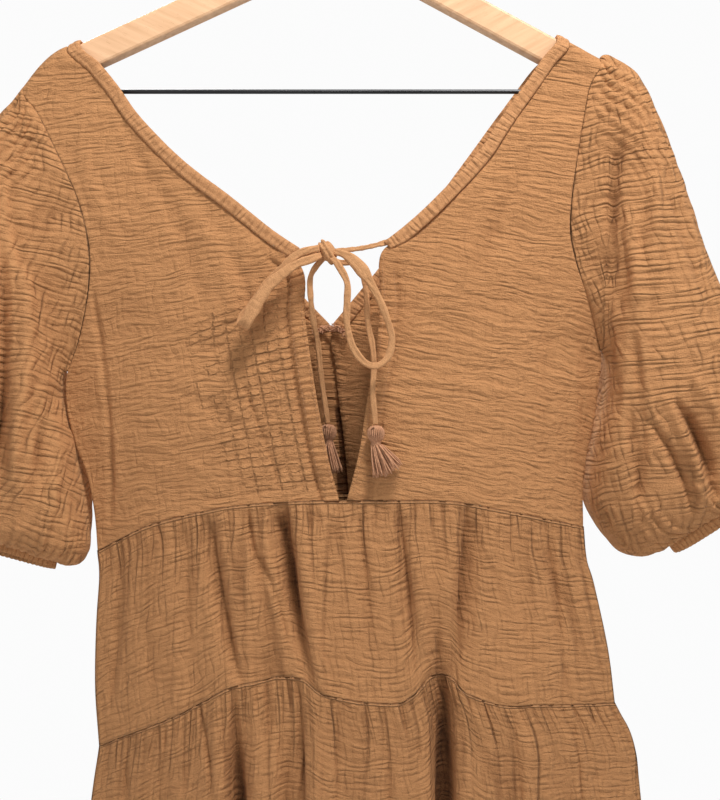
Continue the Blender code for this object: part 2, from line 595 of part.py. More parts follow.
def sleeve_ring(row, count):
    """Return a full sleeve ring for one row of a section table."""
    inner, outer, depth = row[0:2], row[2:4], row[4]
    front = half_ring(inner, outer, depth, -1.0, count)
    back = half_ring(inner, outer, depth, 1.0, count)
    return join_halves(front, back)


def armhole_half(panel, side, count):
    """Return points and normals just outside one panel's armhole edge, from shoulder to underarm."""
    grid, normals = panel
    last_row = len(ROLL_ROWS) + NECK_ROWS + 1
    edge = grid[:last_row, -1]
    outward = edge - grid[:last_row, -2]
    outward /= np.linalg.norm(outward, axis=1, keepdims=True)
    ring = np.hstack([edge + outward * SLEEVE_STEP, normals[:last_row, -1]])
    turn = -1.0 if side == "left" else 1.0
    ring[-1, :3] = edge[-1] + np.array([turn * UNDERARM_STEP[0], 0.0, UNDERARM_STEP[1]])
    ring[-1, 3:] = (turn * 0.3, 0.0, -0.95)
    kept = len(ROLL_ROWS)
    rest = resample(ring[kept:], count - kept)
    return np.vstack([ring[:kept], rest])


def armhole_ring(front_panel, back_panel, side, count):
    """Return the sleeve's first ring and its normals, from the bodice panels' armhole edges."""
    front = armhole_half(front_panel, side, count)
    back = armhole_half(back_panel, side, count)
    front[0] = back[0] = (front[0] + back[0]) / 2
    front[-1] = back[-1] = (front[-1] + back[-1]) / 2
    ring = join_halves(front, back)
    return ring[:, :3], ring[:, 3:]


def cuff_down(side):
    """Return the way down through a cuff, across its ring in the front view."""
    inner_x, inner_z, outer_x, outer_z = CUFF_SECTION[side][:4]
    along = np.array([outer_x - inner_x, 0.0, outer_z - inner_z])
    along /= np.linalg.norm(along)
    down = np.array([along[2], 0.0, -along[0]])
    return down if down[2] < 0 else -down


def cuff_ring(side, count, lower, wider=0.0):
    """Return the cuff's ring, moved down along the cuff by lower and out by wider."""
    inner_x, inner_z, outer_x, outer_z, depth, rise = CUFF_SECTION[side]
    along = np.array([outer_x - inner_x, outer_z - inner_z])
    along *= wider / np.linalg.norm(along)
    row = (inner_x - along[0], inner_z - along[1], outer_x + along[0], outer_z + along[1], depth + wider)
    ring = sleeve_ring(row, count)
    ring[:, 2] -= rise * ring[:, 1] / depth
    return ring + cuff_down(side) * lower


def level_normals(ring, side):
    """Return a cuff ring's normals, square to the way down through the cuff."""
    tangent = np.roll(ring, -1, axis=0) - np.roll(ring, 1, axis=0)
    normals = np.cross(tangent, cuff_down(side))
    normals /= np.linalg.norm(normals, axis=1, keepdims=True)
    if np.sum(normals * (ring - ring.mean(axis=0))) < 0.0:
        normals = -normals
    return normals


def build_sleeve(side, front_panel, back_panel):
    """Build a sleeve from its armhole to its cuff."""
    count = SLEEVE_HALF_POINTS
    first, first_normals = armhole_ring(front_panel, back_panel, side, count)
    rings = [first]
    rings += [sleeve_ring(row, count) for row in SLEEVE_SECTIONS[side]]
    low = len(CUFF_TILT)
    for ring, row, share in zip(rings[-low:], SLEEVE_SECTIONS[side][-low:], CUFF_TILT):
        ring[:, 2] -= share * CUFF_SECTION[side][5] * ring[:, 1] / row[4]
    rings += [cuff_ring(side, count, -up, wider) for up, wider in CUFF_ENTRY]
    grid = np.array(rings)
    centres = grid.mean(axis=1, keepdims=True)
    normals = grid_normals(grid, True, grid - centres)
    shares = np.linspace(0.0, 1.0, len(grid))
    around = np.arange(grid.shape[1]) / (count - 1)
    moved = np.zeros(grid.shape[:2])
    for place, start, end, width, depth in SLEEVE_FOLDS[side]:
        middle, half = (start + end) / 2, (end - start) / 2
        window = dip((shares - middle) / half)[:, None]
        moved -= depth * window * dip((around - place) / width)[None]
    from_top = np.minimum(around, 2.0 - around)
    cap = dip(from_top / CAP_GATHER_SPREAD)[None] * np.interp(shares, CAP_ROWS, CAP_SHARE)[:, None]
    moved += CAP_GATHER_HEIGHT * cap * np.cos(2 * math.pi * CAP_GATHERS * from_top / CAP_GATHER_SPREAD)[None]
    moved[(0, -2, -1), :] = 0.0
    grid = grid + normals * moved[..., None]
    normals = grid_normals(grid, True, grid - centres)
    normals[0] = first_normals
    normals[-1] = level_normals(grid[-1], side)
    normals /= np.linalg.norm(normals, axis=2, keepdims=True)
    add_wall(f"sleeve_{side}", grid, normals, WALL, True, "cloth")


def build_cuff(side):
    """Build the ribbed elastic band at a sleeve's end."""
    rings = [cuff_ring(side, CUFF_HALF_POINTS, share * CUFF_HEIGHT) for share in (0.0, 0.5, 1.0)]
    grid = np.array(rings)
    normals = np.array([level_normals(ring, side) for ring in rings])
    raised = np.zeros(grid.shape[:2])
    raised[:, ::2] = CUFF_RIB_HEIGHT
    add_wall(f"cuff_{side}", grid, normals, CUFF_WALL, True, "cloth", raised)


def add_tube(name, diameter, points, finish):
    """Add a round tube with closed ends along points given in millimetres."""
    curve = bpy.data.curves.new(name, "CURVE")
    curve.dimensions = "3D"
    curve.bevel_depth = diameter / 2 * MM
    curve.bevel_resolution = 2
    curve.use_fill_caps = True
    spline = curve.splines.new("POLY")
    spline.points.add(len(points) - 1)
    for point, place in zip(spline.points, points):
        point.co = (*(c * MM for c in place), 1.0)
    thing = bpy.data.objects.new(name, curve)
    thing.data.materials.append(make_material(name, finish))
    bpy.context.scene.collection.objects.link(thing)


def build_ties():
    """Build the straps, the bow's loops and the two hanging tails, with the knot they leave."""
    for name, (diameter, route) in TIE_ROUTES.items():
        length = np.linalg.norm(np.diff(np.array(route), axis=0), axis=1).sum()
        count = max(4, int(round(length / (TIE_POINT_STEP * diameter))) + 1)
        add_tube(name, diameter, smooth_line(route, count), "cloth")
    bm = bmesh.new()
    bmesh.ops.create_uvsphere(bm, u_segments=10, v_segments=6, radius=0.5)
    bmesh.ops.scale(bm, vec=KNOT_SIZE, verts=bm.verts)
    bmesh.ops.translate(bm, vec=KNOT_CENTRE, verts=bm.verts)
    vertices = [tuple(v.co) for v in bm.verts]
    faces = [[v.index for v in f.verts] for f in bm.faces]
    add_object("bow_knot", vertices, faces, "cloth")
    bm.free()


def build_tassel(name):
    """Build a tassel: a wound head, a tied neck and a skirt of strands grown from its base."""
    top = np.array(TASSEL_TOPS[name])
    lean = np.array(TASSEL_LEANS[name])
    bm = bmesh.new()
    rings = []
    for radius, z in TASSEL_PROFILE:
        ring = []
        for k in range(TASSEL_SECTORS):
            turn = 2 * math.pi * k / TASSEL_SECTORS
            ring.append(bm.verts.new((radius * math.cos(turn), radius * math.sin(turn), z)))
        rings.append(ring)
    for upper, lower in zip(rings, rings[1:]):
        for k in range(TASSEL_SECTORS):
            j = (k + 1) % TASSEL_SECTORS
            bm.faces.new((upper[k], upper[j], lower[j], lower[k]))
    bm.faces.new(rings[0])
    cells = []
    base_z = TASSEL_PROFILE[-1][1]
    previous = rings[-1]
    for radius in TASSEL_CELL_RADII:
        ring = []
        for k in range(TASSEL_SECTORS):
            turn = 2 * math.pi * k / TASSEL_SECTORS
            ring.append(bm.verts.new((radius * math.cos(turn), radius * math.sin(turn), base_z)))
        for k in range(TASSEL_SECTORS):
            j = (k + 1) % TASSEL_SECTORS
            cells.append(bm.faces.new((previous[k], previous[j], ring[j], ring[k])))
        previous = ring
    bm.faces.new(previous)
    bmesh.ops.recalc_face_normals(bm, faces=bm.faces)
    bmesh.ops.inset_individual(bm, faces=cells, thickness=STRAND_GAP)
    grown = bmesh.ops.extrude_discrete_faces(bm, faces=cells)["faces"]
    for k, face in enumerate(grown):
        centre = face.calc_center_median()
        length = STRAND_LENGTH * (1.0 - 0.06 * ((k * 5) % 4))
        for vert in face.verts:
            offset = (vert.co - centre) * STRAND_TAPER
            vert.co.x = centre.x * STRAND_SPREAD + offset.x + lean[0] * length
            vert.co.y = centre.y * STRAND_SPREAD * 0.6 + offset.y + lean[1] * length
            vert.co.z = base_z - length
    bm.verts.index_update()
    vertices = [tuple(np.array(v.co) + top) for v in bm.verts]
    faces = [[v.index for v in f.verts] for f in bm.faces]
    bm.free()
    add_object(name, vertices, faces, "tassel")


def build_tack():
    """Build the bar tack that joins the far side's bindings, on their inner face."""
    bm = bmesh.new()
    bmesh.ops.create_cube(bm, size=1.0)
    bmesh.ops.scale(bm, vec=TACK_SIZE, verts=bm.verts)
    bmesh.ops.bevel(bm, geom=bm.edges[:], offset=TACK_EDGE, segments=2, affect="EDGES", profile=0.5)
    bmesh.ops.translate(bm, vec=TACK_CENTRE, verts=bm.verts)
    bm.verts.index_update()
    vertices = [tuple(v.co) for v in bm.verts]
    faces = [[v.index for v in f.verts] for f in bm.faces]
    add_object("back_tack", vertices, faces, "cloth")
    bm.free()


def build_arm(side):
    """Build one wooden arm: a flat bar that falls from the peak and ends in a half round."""
    turn = -1.0 if side == "left" else 1.0
    slope = ARM_SLOPE_LEFT if side == "left" else ARM_SLOPE_RIGHT
    fall = math.atan(slope)
    along = np.array([turn * math.cos(fall), -math.sin(fall)])
    below = np.array([-turn * math.sin(fall), -math.cos(fall)])
    radius = ARM_HEIGHT / 2
    start = np.array([turn * HALF_SEAM, ARM_PEAK_Z])
    end = np.array([ARM_END_X[side], ARM_PEAK_Z - slope * abs(ARM_END_X[side])])
    outline = [start]
    for k in range(ARM_END_POINTS + 1):
        angle = math.pi * k / ARM_END_POINTS
        outline.append(end + below * radius * (1 - math.cos(angle)) + along * radius * math.sin(angle))
    outline.append(start - np.array([0.0, ARM_HEIGHT / math.cos(fall)]))
    count = len(outline)
    front = [(x, -ARM_DEPTH / 2, z) for x, z in outline]
    rear = [(x, ARM_DEPTH / 2, z) for x, z in outline]
    faces = [list(range(count)), list(range(2 * count - 1, count - 1, -1))]
    faces += [[k, (k + 1) % count, (k + 1) % count + count, k + count] for k in range(count)]
    arm = add_object(f"hanger_arm_{side}", front + rear, faces, "wood")
    bevel = arm.modifiers.new("rounded edges", "BEVEL")
    bevel.width = ARM_ROUND * MM
    bevel.segments = 2
    bevel.limit_method = "ANGLE"
    bevel.angle_limit = math.radians(60.0)


def build_bar_and_hook():
    """Build the trouser bar between the arms and the wire hook above them."""
    add_tube("hanger_bar", BAR_DIAMETER, BAR_ROUTE, "bar")
    centre_z = HOOK_WIRE / 2 - HOOK_RADIUS
    points = [(0.0, 0.0, z) for z in HOOK_STEM_Z] + [(x, 0.0, z) for x, z in HOOK_BEND]
    for degrees in range(-40, 211, 25):
        turn = math.radians(degrees)
        points.append((HOOK_RADIUS * math.cos(turn), 0.0, centre_z + HOOK_RADIUS * math.sin(turn)))
    add_tube("hanger_hook", HOOK_WIRE, points, "hook")


def main():
    """Build the dress and its hanger."""
    clear_scene()
    for side in ("left", "right"):
        front = build_bodice_panel("front", side)
        back = build_bodice_panel("back", side)
        build_binding("front", side)
        build_binding("back", side)
        build_sleeve(side, front, back)
        build_cuff(side)
        build_arm(side)
    waist, seam, hem = waist_line(), tier_seam_line(), hem_line()
    for layer in ("front", "back"):
        build_tier_panel("tier1", layer, waist, seam)
        build_tier_panel("tier2", layer, seam, hem)
    build_ties()
    for name in TASSEL_TOPS:
        build_tassel(name)
    build_tack()
    build_bar_and_hook()


main()
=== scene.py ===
"""Looks of the tiered mini dress: crinkled double gauze on a wooden hanger.

Every cloth piece is a thin shell on the form of its CAD solid, made again at a fine
step with its gathers, creases and crinkle. Tables and named sizes are in millimetres
in the frame's own axes: the tie side faces -Y, Z is up, the hook's inner top is zero.
"""

import logging
import math
from dataclasses import dataclass, field
from enum import Enum

import bmesh
import bpy
import numpy as np
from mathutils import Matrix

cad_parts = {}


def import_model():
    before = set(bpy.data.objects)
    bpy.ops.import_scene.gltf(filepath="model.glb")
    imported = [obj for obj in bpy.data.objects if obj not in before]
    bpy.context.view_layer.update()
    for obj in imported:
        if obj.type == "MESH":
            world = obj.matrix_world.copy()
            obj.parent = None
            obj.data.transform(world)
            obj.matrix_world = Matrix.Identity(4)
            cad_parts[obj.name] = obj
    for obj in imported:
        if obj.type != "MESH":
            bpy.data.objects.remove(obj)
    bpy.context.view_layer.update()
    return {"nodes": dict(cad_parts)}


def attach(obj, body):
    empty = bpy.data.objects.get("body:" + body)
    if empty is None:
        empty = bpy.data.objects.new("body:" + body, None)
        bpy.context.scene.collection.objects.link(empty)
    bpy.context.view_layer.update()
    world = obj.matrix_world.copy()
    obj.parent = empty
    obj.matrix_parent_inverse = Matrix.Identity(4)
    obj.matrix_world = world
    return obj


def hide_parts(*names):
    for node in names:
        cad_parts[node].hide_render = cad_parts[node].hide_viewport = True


LOG = logging.getLogger("dress")
MM = 0.001
Table = tuple[tuple[float, ...], ...]
Array = np.ndarray
Material = bpy.types.Material
NodeTree = bpy.types.NodeTree
Piece = bpy.types.Object
Socket = bpy.types.NodeSocket


class Side(Enum):
    """A side of the garment, as the viewer of its tie side sees it."""

    LEFT = "left"
    RIGHT = "right"

    @property
    def out(self) -> float:
        """Return the sign of X that points away from the middle."""
        return -1.0 if self is Side.LEFT else 1.0


class Layer(Enum):
    """The tie side or the far side of the garment."""

    FRONT = "front"
    BACK = "back"

    @property
    def sign(self) -> float:
        """Return the sign of Y that points out of the cloth."""
        return -1.0 if self is Layer.FRONT else 1.0


# Camera and floor
CAMERA_DISTANCE = 850.0
CAMERA_AIM = (12.6, -408.5)
SENSOR_SIZE = 36.0
FLOOR_Z = -1250.0

# Cloth
WALL = 1.2
HEM_TURN, HEM_WALL = 12.0, 0.8
HALF_SEAM = 0.15
BINDING_WIDTH = 9.0
BINDING_STEP = 0.3
BINDING_LIFT = 0.6
SHOULDER_SKEW = 1.045
SHOULDER_DEPTH = 8.2
ROLL_DROP = 3.0
MIDDLE_X = -2.0
UNDERARM_SHARE = 0.56
WAIST_DEPTH, TIER_SEAM_DEPTH, HEM_DEPTH = 26.0, 35.0, 46.0
DEPTH_POWER = 2.6
LEAST_DEPTH = 3.0
RING_POWER = 2.4
ARM_SLOPE = {Side.LEFT: 0.461, Side.RIGHT: 0.5415}
WAIST_GAP = -0.5
SEAM_DIP = 0.45
THREAD_ANGLE = {
    "bodice": {Side.LEFT: 8.0, Side.RIGHT: -11.0}, "sleeve": {Side.LEFT: -17.0, Side.RIGHT: 13.0},
}
NO_SEAM = 50.0
MAP_SHIFT, MAP_WRAP = 400.0, 0.8
LATTICE_CELLS = 64
ANY_WAY = np.array([0.31, 0.52, 0.79])
GOLDEN_TURN = 2.399963
# Stitches of a bodice panel: distance from its inner edge, share of the way down from and to
BODICE_STITCHES = ((1.6, 0.02, 0.99), (7.0, 0.6, 0.97))
SEAM_STITCHES, HEM_STITCHES = 1.6, 11.0

NECK_OUTLINE: dict[Side, Table] = {
    Side.LEFT: (
        (-192.6, -145), (-178, -162), (-161.2, -182.8), (-146.4, -203.5), (-115.5, -234.6),
        (-81.8, -260.4), (-49, -286.8), (-30.8, -299)),
    Side.RIGHT: (
        (157, -141.2), (142, -165), (126.5, -186.5), (113.3, -205.7), (96.3, -230.9), (62.6, -266.4),
        (45.9, -281.7), (30.2, -294.3)),
}
KEYHOLE_OUTLINE: dict[Side, Table] = {
    Side.LEFT: (
        (-30.8, -299), (-29.2, -329.2), (-25.6, -358.1), (-20.5, -394.8), (-11.1, -445.8), (-2.2, -480.7)),
    Side.RIGHT: ((30.2, -294.3), (27.7, -329.2), (25.6, -362.4), (18.3, -404.9), (12, -445.8), (3, -480.7)),
}
FAR_NECK_OUTLINE: dict[Side, Table] = {
    Side.LEFT: ((-192.6, -145), (-150, -199), (-98, -259), (-50, -310), (-10.4, -351)),
    Side.RIGHT: ((157, -141.2), (118, -193), (72, -255), (28.5, -307), (-8.2, -351)),
}
FAR_SLIT_OUTLINE: dict[Side, Table] = {
    Side.LEFT: ((-10.4, -351), (-4.4, -360), (-1.6, -400), (3.6, -440), (7, -480.7)),
    Side.RIGHT: ((-8.2, -351), (-8, -360), (-4.6, -400), (0.6, -440), (4, -480.7)),
}
CORNER_DROP = {
    (Layer.FRONT, Side.LEFT): 12, (Layer.FRONT, Side.RIGHT): 6, (Layer.BACK, Side.LEFT): 6,
    (Layer.BACK, Side.RIGHT): 6,
}
SHOULDER_TIP: dict[Side, Table] = {
    Side.LEFT: ((-208, -152.1), (-216, -157.8), (-226, -168), (-234.6, -179)),
    Side.RIGHT: ((174, -150.4), (182, -154.8), (189.2, -158.6)),
}
ARMHOLE_OUTLINE: dict[Side, Table] = {
    Side.LEFT: (
        (-234.6, -179), (-225.4, -194.7), (-215, -215.2), (-203.8, -238), (-194.1, -259.3),
        (-186.8, -285.5), (-184.4, -307.8), (-187, -334.6), (-194.1, -363.6), (-203.5, -387.8)),
    Side.RIGHT: (
        (189.2, -158.6), (181, -177.9), (176, -204.2), (170.7, -233.6), (166.9, -262.9), (166.2, -288.4),
        (169.3, -303.7), (175.2, -320.5), (183.6, -345.2), (190.4, -371.5)),
}
# Painted shade on the far side's inner face, in the dark gap between its two edges: z, x of its right side,
# width
PAINTED_GAP_SHADE: Table = (
    (-364, -6.2, 0), (-378, -5.2, 1.2), (-412, -2.6, 1.6), (-440, 0.8, 4.2), (-470, 2.9, 6.4),
    (-482, 3.6, 5),
)
SIDE_OUTLINE: dict[Side, Table] = {
    Side.LEFT: (
        (-203.5, -387.8), (-204.2, -408.5), (-202.7, -426.3), (-198.3, -439.6), (-190.9, -459.6),
        (-185, -480.3), (-181.3, -520.2)),
    Side.RIGHT: (
        (190.4, -371.5), (189.4, -390), (188, -407), (184.3, -432.2), (179.8, -451.4), (177.6, -472.9),
        (177.6, -502.5)),
}
WAIST_HALVES: tuple[Table, Table] = (
    (
        (-181.3, -520.2), (-169.5, -513.6), (-150, -503.8), (-130.1, -496.4), (-92.3, -487.5),
        (-67, -483.8), (-32.5, -481.6), (0.4, -480.9)),
    (
        (0.4, -480.9), (47.8, -481), (70.8, -481.3), (90.3, -483.3), (112.1, -488), (134.3, -492.5),
        (156.3, -497.5), (177.6, -502.5)),
)
TIER_SEAM_HALVES: tuple[Table, Table] = (
    (
        (-179.8, -664.5), (-162.3, -655.6), (-133.4, -642.8), (-105.2, -628.5), (-80.3, -614),
        (-60, -610.5), (-41.4, -606.5), (-27.3, -607), (-15, -616.6), (11.2, -622.7)),
    (
        (11.2, -622.7), (38.1, -624), (51, -617.5), (61.1, -607.5), (78.3, -607.5), (88.6, -617.8),
        (114.4, -627.1), (140.7, -628.2), (167.2, -630.3), (200.6, -632.7)),
)
HEM_HALVES: tuple[Table, Table] = (
    ((-212, -948), (-150, -944), (-90, -940), (-30, -938), (16, -939)),
    ((16, -939), (70, -938), (130, -938), (190, -936), (246, -932)),
)
TIER_EDGES: dict[str, tuple[Table, Table]] = {
    'tier1': (
        ((-181.3, -520.2), (-179.8, -538.7), (-182, -574.3), (-182.8, -620.9), (-179.8, -664.5)),
        ((177.6, -502.5), (179.8, -526.2), (185, -543.9), (195.4, -592), (200.6, -632.7))),
    'tier2': (
        ((-179.8, -664.5), (-185.7, -704.5), (-197, -800), (-206, -880), (-212, -948)),
        ((200.6, -632.7), (214.6, -661.6), (220.5, -710), (233, -820), (246, -932))),
}
# Bodice depth from the middle plane: share of the way down, centre, outer edge
BODICE_DEPTH: Table = (
    (0, 8.2, 8.2), (0.1, 9.8, 10), (0.22, 12.5, 12.5), (0.34, 15.5, 12), (0.43, 18, 9), (0.5, 20, 4.5),
    (0.56, 21.5, 0.15), (0.75, 24, 0.15), (1, 26, 0.15),
)
# Tier folds: x at the seam above, x at the seam below, half width, depth above, depth below
TIER_FOLDS: dict[tuple[str, Layer], Table] = {
    ('tier1', Layer.FRONT): (
        (-45.9, -24, 13, 9, 13), (-69.5, -44, 8, 3, 2), (-119.9, -108, 9, 3, 1.5), (-98.4, -76, 10, 4, 9),
        (11, 22, 8, 2, 2.5), (40, 55, 10, 3, 8), (92.5, 84, 11, 5, 10), (149.5, 163, 9, 4, 4),
        (-168, -172, 6, 2, 2.5)),
    ('tier1', Layer.BACK): (
        (-128, -120, 10, 3, 5), (-84, -66, 12, 7, 11), (-38, -30, 9, 3, 3), (8, 0, 11, 5, 8),
        (52, 66, 12, 8, 12), (104, 110, 9, 3, 5), (146, 158, 9, 4, 4)),
    ('tier2', Layer.FRONT): (
        (-74, -78, 15, 12, 17), (-36, -48, 12, 8, 13), (70, 84, 19, 15, 22), (-128, -146, 17, 3, 14),
        (6, 14, 18, 2, 11), (118, 130, 15, 4, 14), (158, 184, 16, 4, 13)),
    ('tier2', Layer.BACK): (
        (-132, -150, 17, 4, 15), (-84, -96, 16, 9, 18), (-30, -36, 18, 4, 14), (24, 30, 16, 6, 16),
        (76, 90, 18, 12, 20), (134, 154, 17, 5, 15)),
}
# Folds that the tier seam itself takes: centre x, half width, depth
SEAM_FOLDS: dict[Layer, Table] = {
    Layer.FRONT: ((-52, 26, 10), (70, 20, 13), (-106, 14, 3)),
    Layer.BACK: ((-80, 24, 9), (4, 18, 5), (74, 24, 10)),
}
# Sleeve sections from the armhole down: inner x, z, outer x, z, half depth
SLEEVE_SECTIONS: dict[Side, Table] = {
    Side.LEFT: (
        (-207.5, -391, -240.5, -185, 13), (-209.5, -400, -255, -202, 21), (-208.5, -417, -280, -238, 29),
        (-203.5, -438, -303, -288, 34), (-198.5, -461, -320, -342, 36), (-193, -485, -331, -398, 37),
        (-189, -506, -336, -442, 35), (-190, -521, -335, -470, 31), (-197.5, -528.5, -328, -487, 25),
        (-207, -527.5, -321.5, -492, 19)),
    Side.RIGHT: (
        (192.6, -374.5, 197, -157, 16), (195, -383, 212, -168, 22), (195.5, -401, 229.5, -199, 29),
        (192.5, -424, 251, -254, 34), (187.5, -447, 273.5, -320, 36), (183.5, -470, 300, -370, 37),
        (184, -490, 322, -410, 35), (196, -509, 333.5, -432, 31), (211, -521, 337, -444, 25),
        (230, -519, 334, -449.5, 19)),
}
# Cuff rings: inner x, z, outer x, z, half depth, rise of the front edge
CUFF_SECTION: dict[Side, tuple[float, ...]] = {
    Side.LEFT: (-212.5, -524, -317, -494.5, 15, 5), Side.RIGHT: (241.5, -513, 331, -451, 15, 0),
}
CUFF_HEIGHT = 9.0
CUFF_ENTRY = ((2.8, 1.2), (0.35, 0.0))
CUFF_TILT = (0.3, 0.7, 1.0)
# Sleeve folds: share of the half ring, share of length from and to, half width, depth
SLEEVE_FOLDS: dict[Side, Table] = {
    Side.LEFT: (
        (0.62, 0.3, 0.95, 0.07, 9), (0.8, 0.35, 0.9, 0.04, 2.5), (0.35, 0.25, 0.85, 0.06, 4),
        (1.35, 0.3, 0.9, 0.07, 6), (1.65, 0.25, 0.9, 0.06, 5)),
    Side.RIGHT: (
        (0.74, 0.3, 0.9, 0.05, 5), (0.45, 0.55, 0.95, 0.05, 4), (0.2, 0.2, 0.7, 0.06, 3),
        (1.3, 0.3, 0.9, 0.07, 6), (1.7, 0.3, 0.9, 0.06, 4)),
}
CAP_GATHERS, CAP_HEIGHT, CAP_SPREAD = 11, 1.7, 0.46
CAP_ROWS, CAP_SHARE = (0.0, 0.07, 0.24, 0.42), (0.25, 1.0, 0.5, 0.0)

# Ties: width of the flat band, then its route as x, y, z
TIE_ROUTES: dict[str, tuple[float, Table]] = {
    'tie_strap_left': (
        3.6,
        ((-31.2, -20.5, -301.8), (-27.5, -22.2, -303.3), (-22.5, -25, -302.8), (-16.4, -27.8, -302.3))),
    'tie_strap_right': (
        3.6,
        (
            (37.4, -19.6, -293), (31.8, -20.2, -294.6), (24.6, -22.2, -296.8), (14, -24.8, -299.4),
            (4, -26.8, -300.9), (-5.7, -28.2, -301.8))),
    'bow_loop_left': (
        5,
        (
            (-15, -33.8, -305.6), (-21, -38.2, -308.6), (-34, -41, -314), (-50.2, -42.5, -327),
            (-61.4, -43, -343), (-67.5, -42, -353.5), (-70.5, -37.6, -356.5), (-69.5, -34.2, -351.5),
            (-60.5, -34.6, -338), (-49, -34.8, -322.6), (-33.5, -35.8, -307), (-24, -36, -302.6),
            (-16.3, -33.7, -300.7))),
    'bow_loop_right': (
        5,
        (
            (-7.9, -34.3, -307), (-3, -39.8, -313), (3.4, -43, -325.5), (3.6, -44, -339),
            (3.4, -44, -353.8), (7, -43.6, -369.9), (14.7, -43, -381.1), (23.9, -42.5, -384.6),
            (32.3, -42, -378.2), (35.1, -42, -365.5), (31.6, -42, -351.5), (25.3, -41.5, -335.9),
            (14.7, -40.5, -317.8), (4, -37.4, -306.9), (-5.4, -33.5, -303))),
    'tie_tail_left': (
        4.2,
        (
            (-12.6, -28.4, -306.6), (-18.6, -27.8, -312.6), (-22.9, -28.4, -321.4), (-22.6, -28, -336.2),
            (-20.8, -22, -352.3), (-18, -14, -368.5), (-15.6, -10, -393.1), (-13, -9, -411.4),
            (-10.9, -9, -425.8))),
    'tie_tail_right': (
        4.2,
        (
            (-6.7, -27.6, -308.2), (-1, -27.8, -310.2), (8.6, -30.6, -311.1), (14.4, -31.8, -318.9),
            (16.9, -31.8, -330.9), (18.3, -32, -352.9), (21.4, -32.6, -369.3), (22.6, -33, -383.5),
            (21.6, -33.4, -402.1), (22.8, -33.6, -416.3), (23.6, -33.6, -426.2))),
}
KNOT_CENTRE, KNOT_SIZE = (-10.4, -30.5, -303.0), (11.5, 13.0, 16.5)
KNOT_TILT = 0.36
TASSEL_TOPS: dict[str, tuple[float, float, float]] = {
    'tassel_left': (-10.7, -9, -426.3), 'tassel_right': (23.9, -33.6, -426.7),
}
TASSEL_LEANS: dict[str, float] = {"tassel_left": 0.2, "tassel_right": 0.42}
SKIRT_FAN: dict[str, float] = {"tassel_left": 0.3, "tassel_right": 0.56}
TACK_CENTRE, TACK_SIZE = (-9.3, 19.5, -354.5), (15.0, 1.6, 5.0)


# Creases pressed into each piece: x, z at one end, x, z at the other, bow, half width, height
BODICE_CREASES: dict[tuple[Layer, Side], Table] = {
    (Layer.FRONT, Side.LEFT): (
        (-186, -318, -171, -505, 6, 4.5, -3.2), (-176, -360, -160, -480, -4, 8, 1.3),
        (-150, -230, -98, -360, 9, 9, -1.4), (-120, -255, -70, -372, 7, 10, 1.3),
        (-92, -275, -52, -400, 5, 7, -1), (-76, -388, -45, -474, 2, 2.6, -2),
        (-130, -400, -60, -446, 8, 7, -1.1), (-150, -440, -90, -470, 5, 6, 0.9),
        (-192, -205, -160, -300, -7, 9, 1.2), (-60, -300, -36, -440, 3, 6, 0.9),
        (-170, -190, -140, -262, 4, 7, -1)),
    (Layer.FRONT, Side.RIGHT): (
        (150, -215, 96, -330, -8, 10, -1.4), (128, -240, 70, -352, -6, 9, 1.2),
        (158, -300, 150, -470, -5, 9, -1.3), (40, -340, 128, -366, -6, 7, -0.9),
        (34, -392, 140, -412, 5, 8, 0.9), (30, -440, 120, -430, -4, 6, -0.8),
        (170, -345, 166, -480, 3, 5, 1.1), (60, -290, 44, -400, 4, 7, 0.9),
        (172, -190, 150, -262, -4, 8, 1)),
    (Layer.BACK, Side.LEFT): (
        (-150, -235, -96, -372, 7, 9, -1.3), (-184, -330, -168, -490, 5, 7, -1.5),
        (-118, -270, -60, -392, 6, 10, 1.2), (-140, -420, -50, -452, 6, 8, -0.9),
        (-176, -205, -160, -300, -5, 8, 1.1)),
    (Layer.BACK, Side.RIGHT): (
        (140, -225, 86, -352, -7, 9, -1.3), (166, -320, 156, -480, -4, 7, -1.4),
        (112, -262, 56, -380, -6, 10, 1.2), (30, -410, 130, -436, 6, 8, -0.9),
        (168, -200, 154, -290, -4, 8, 1)),
}
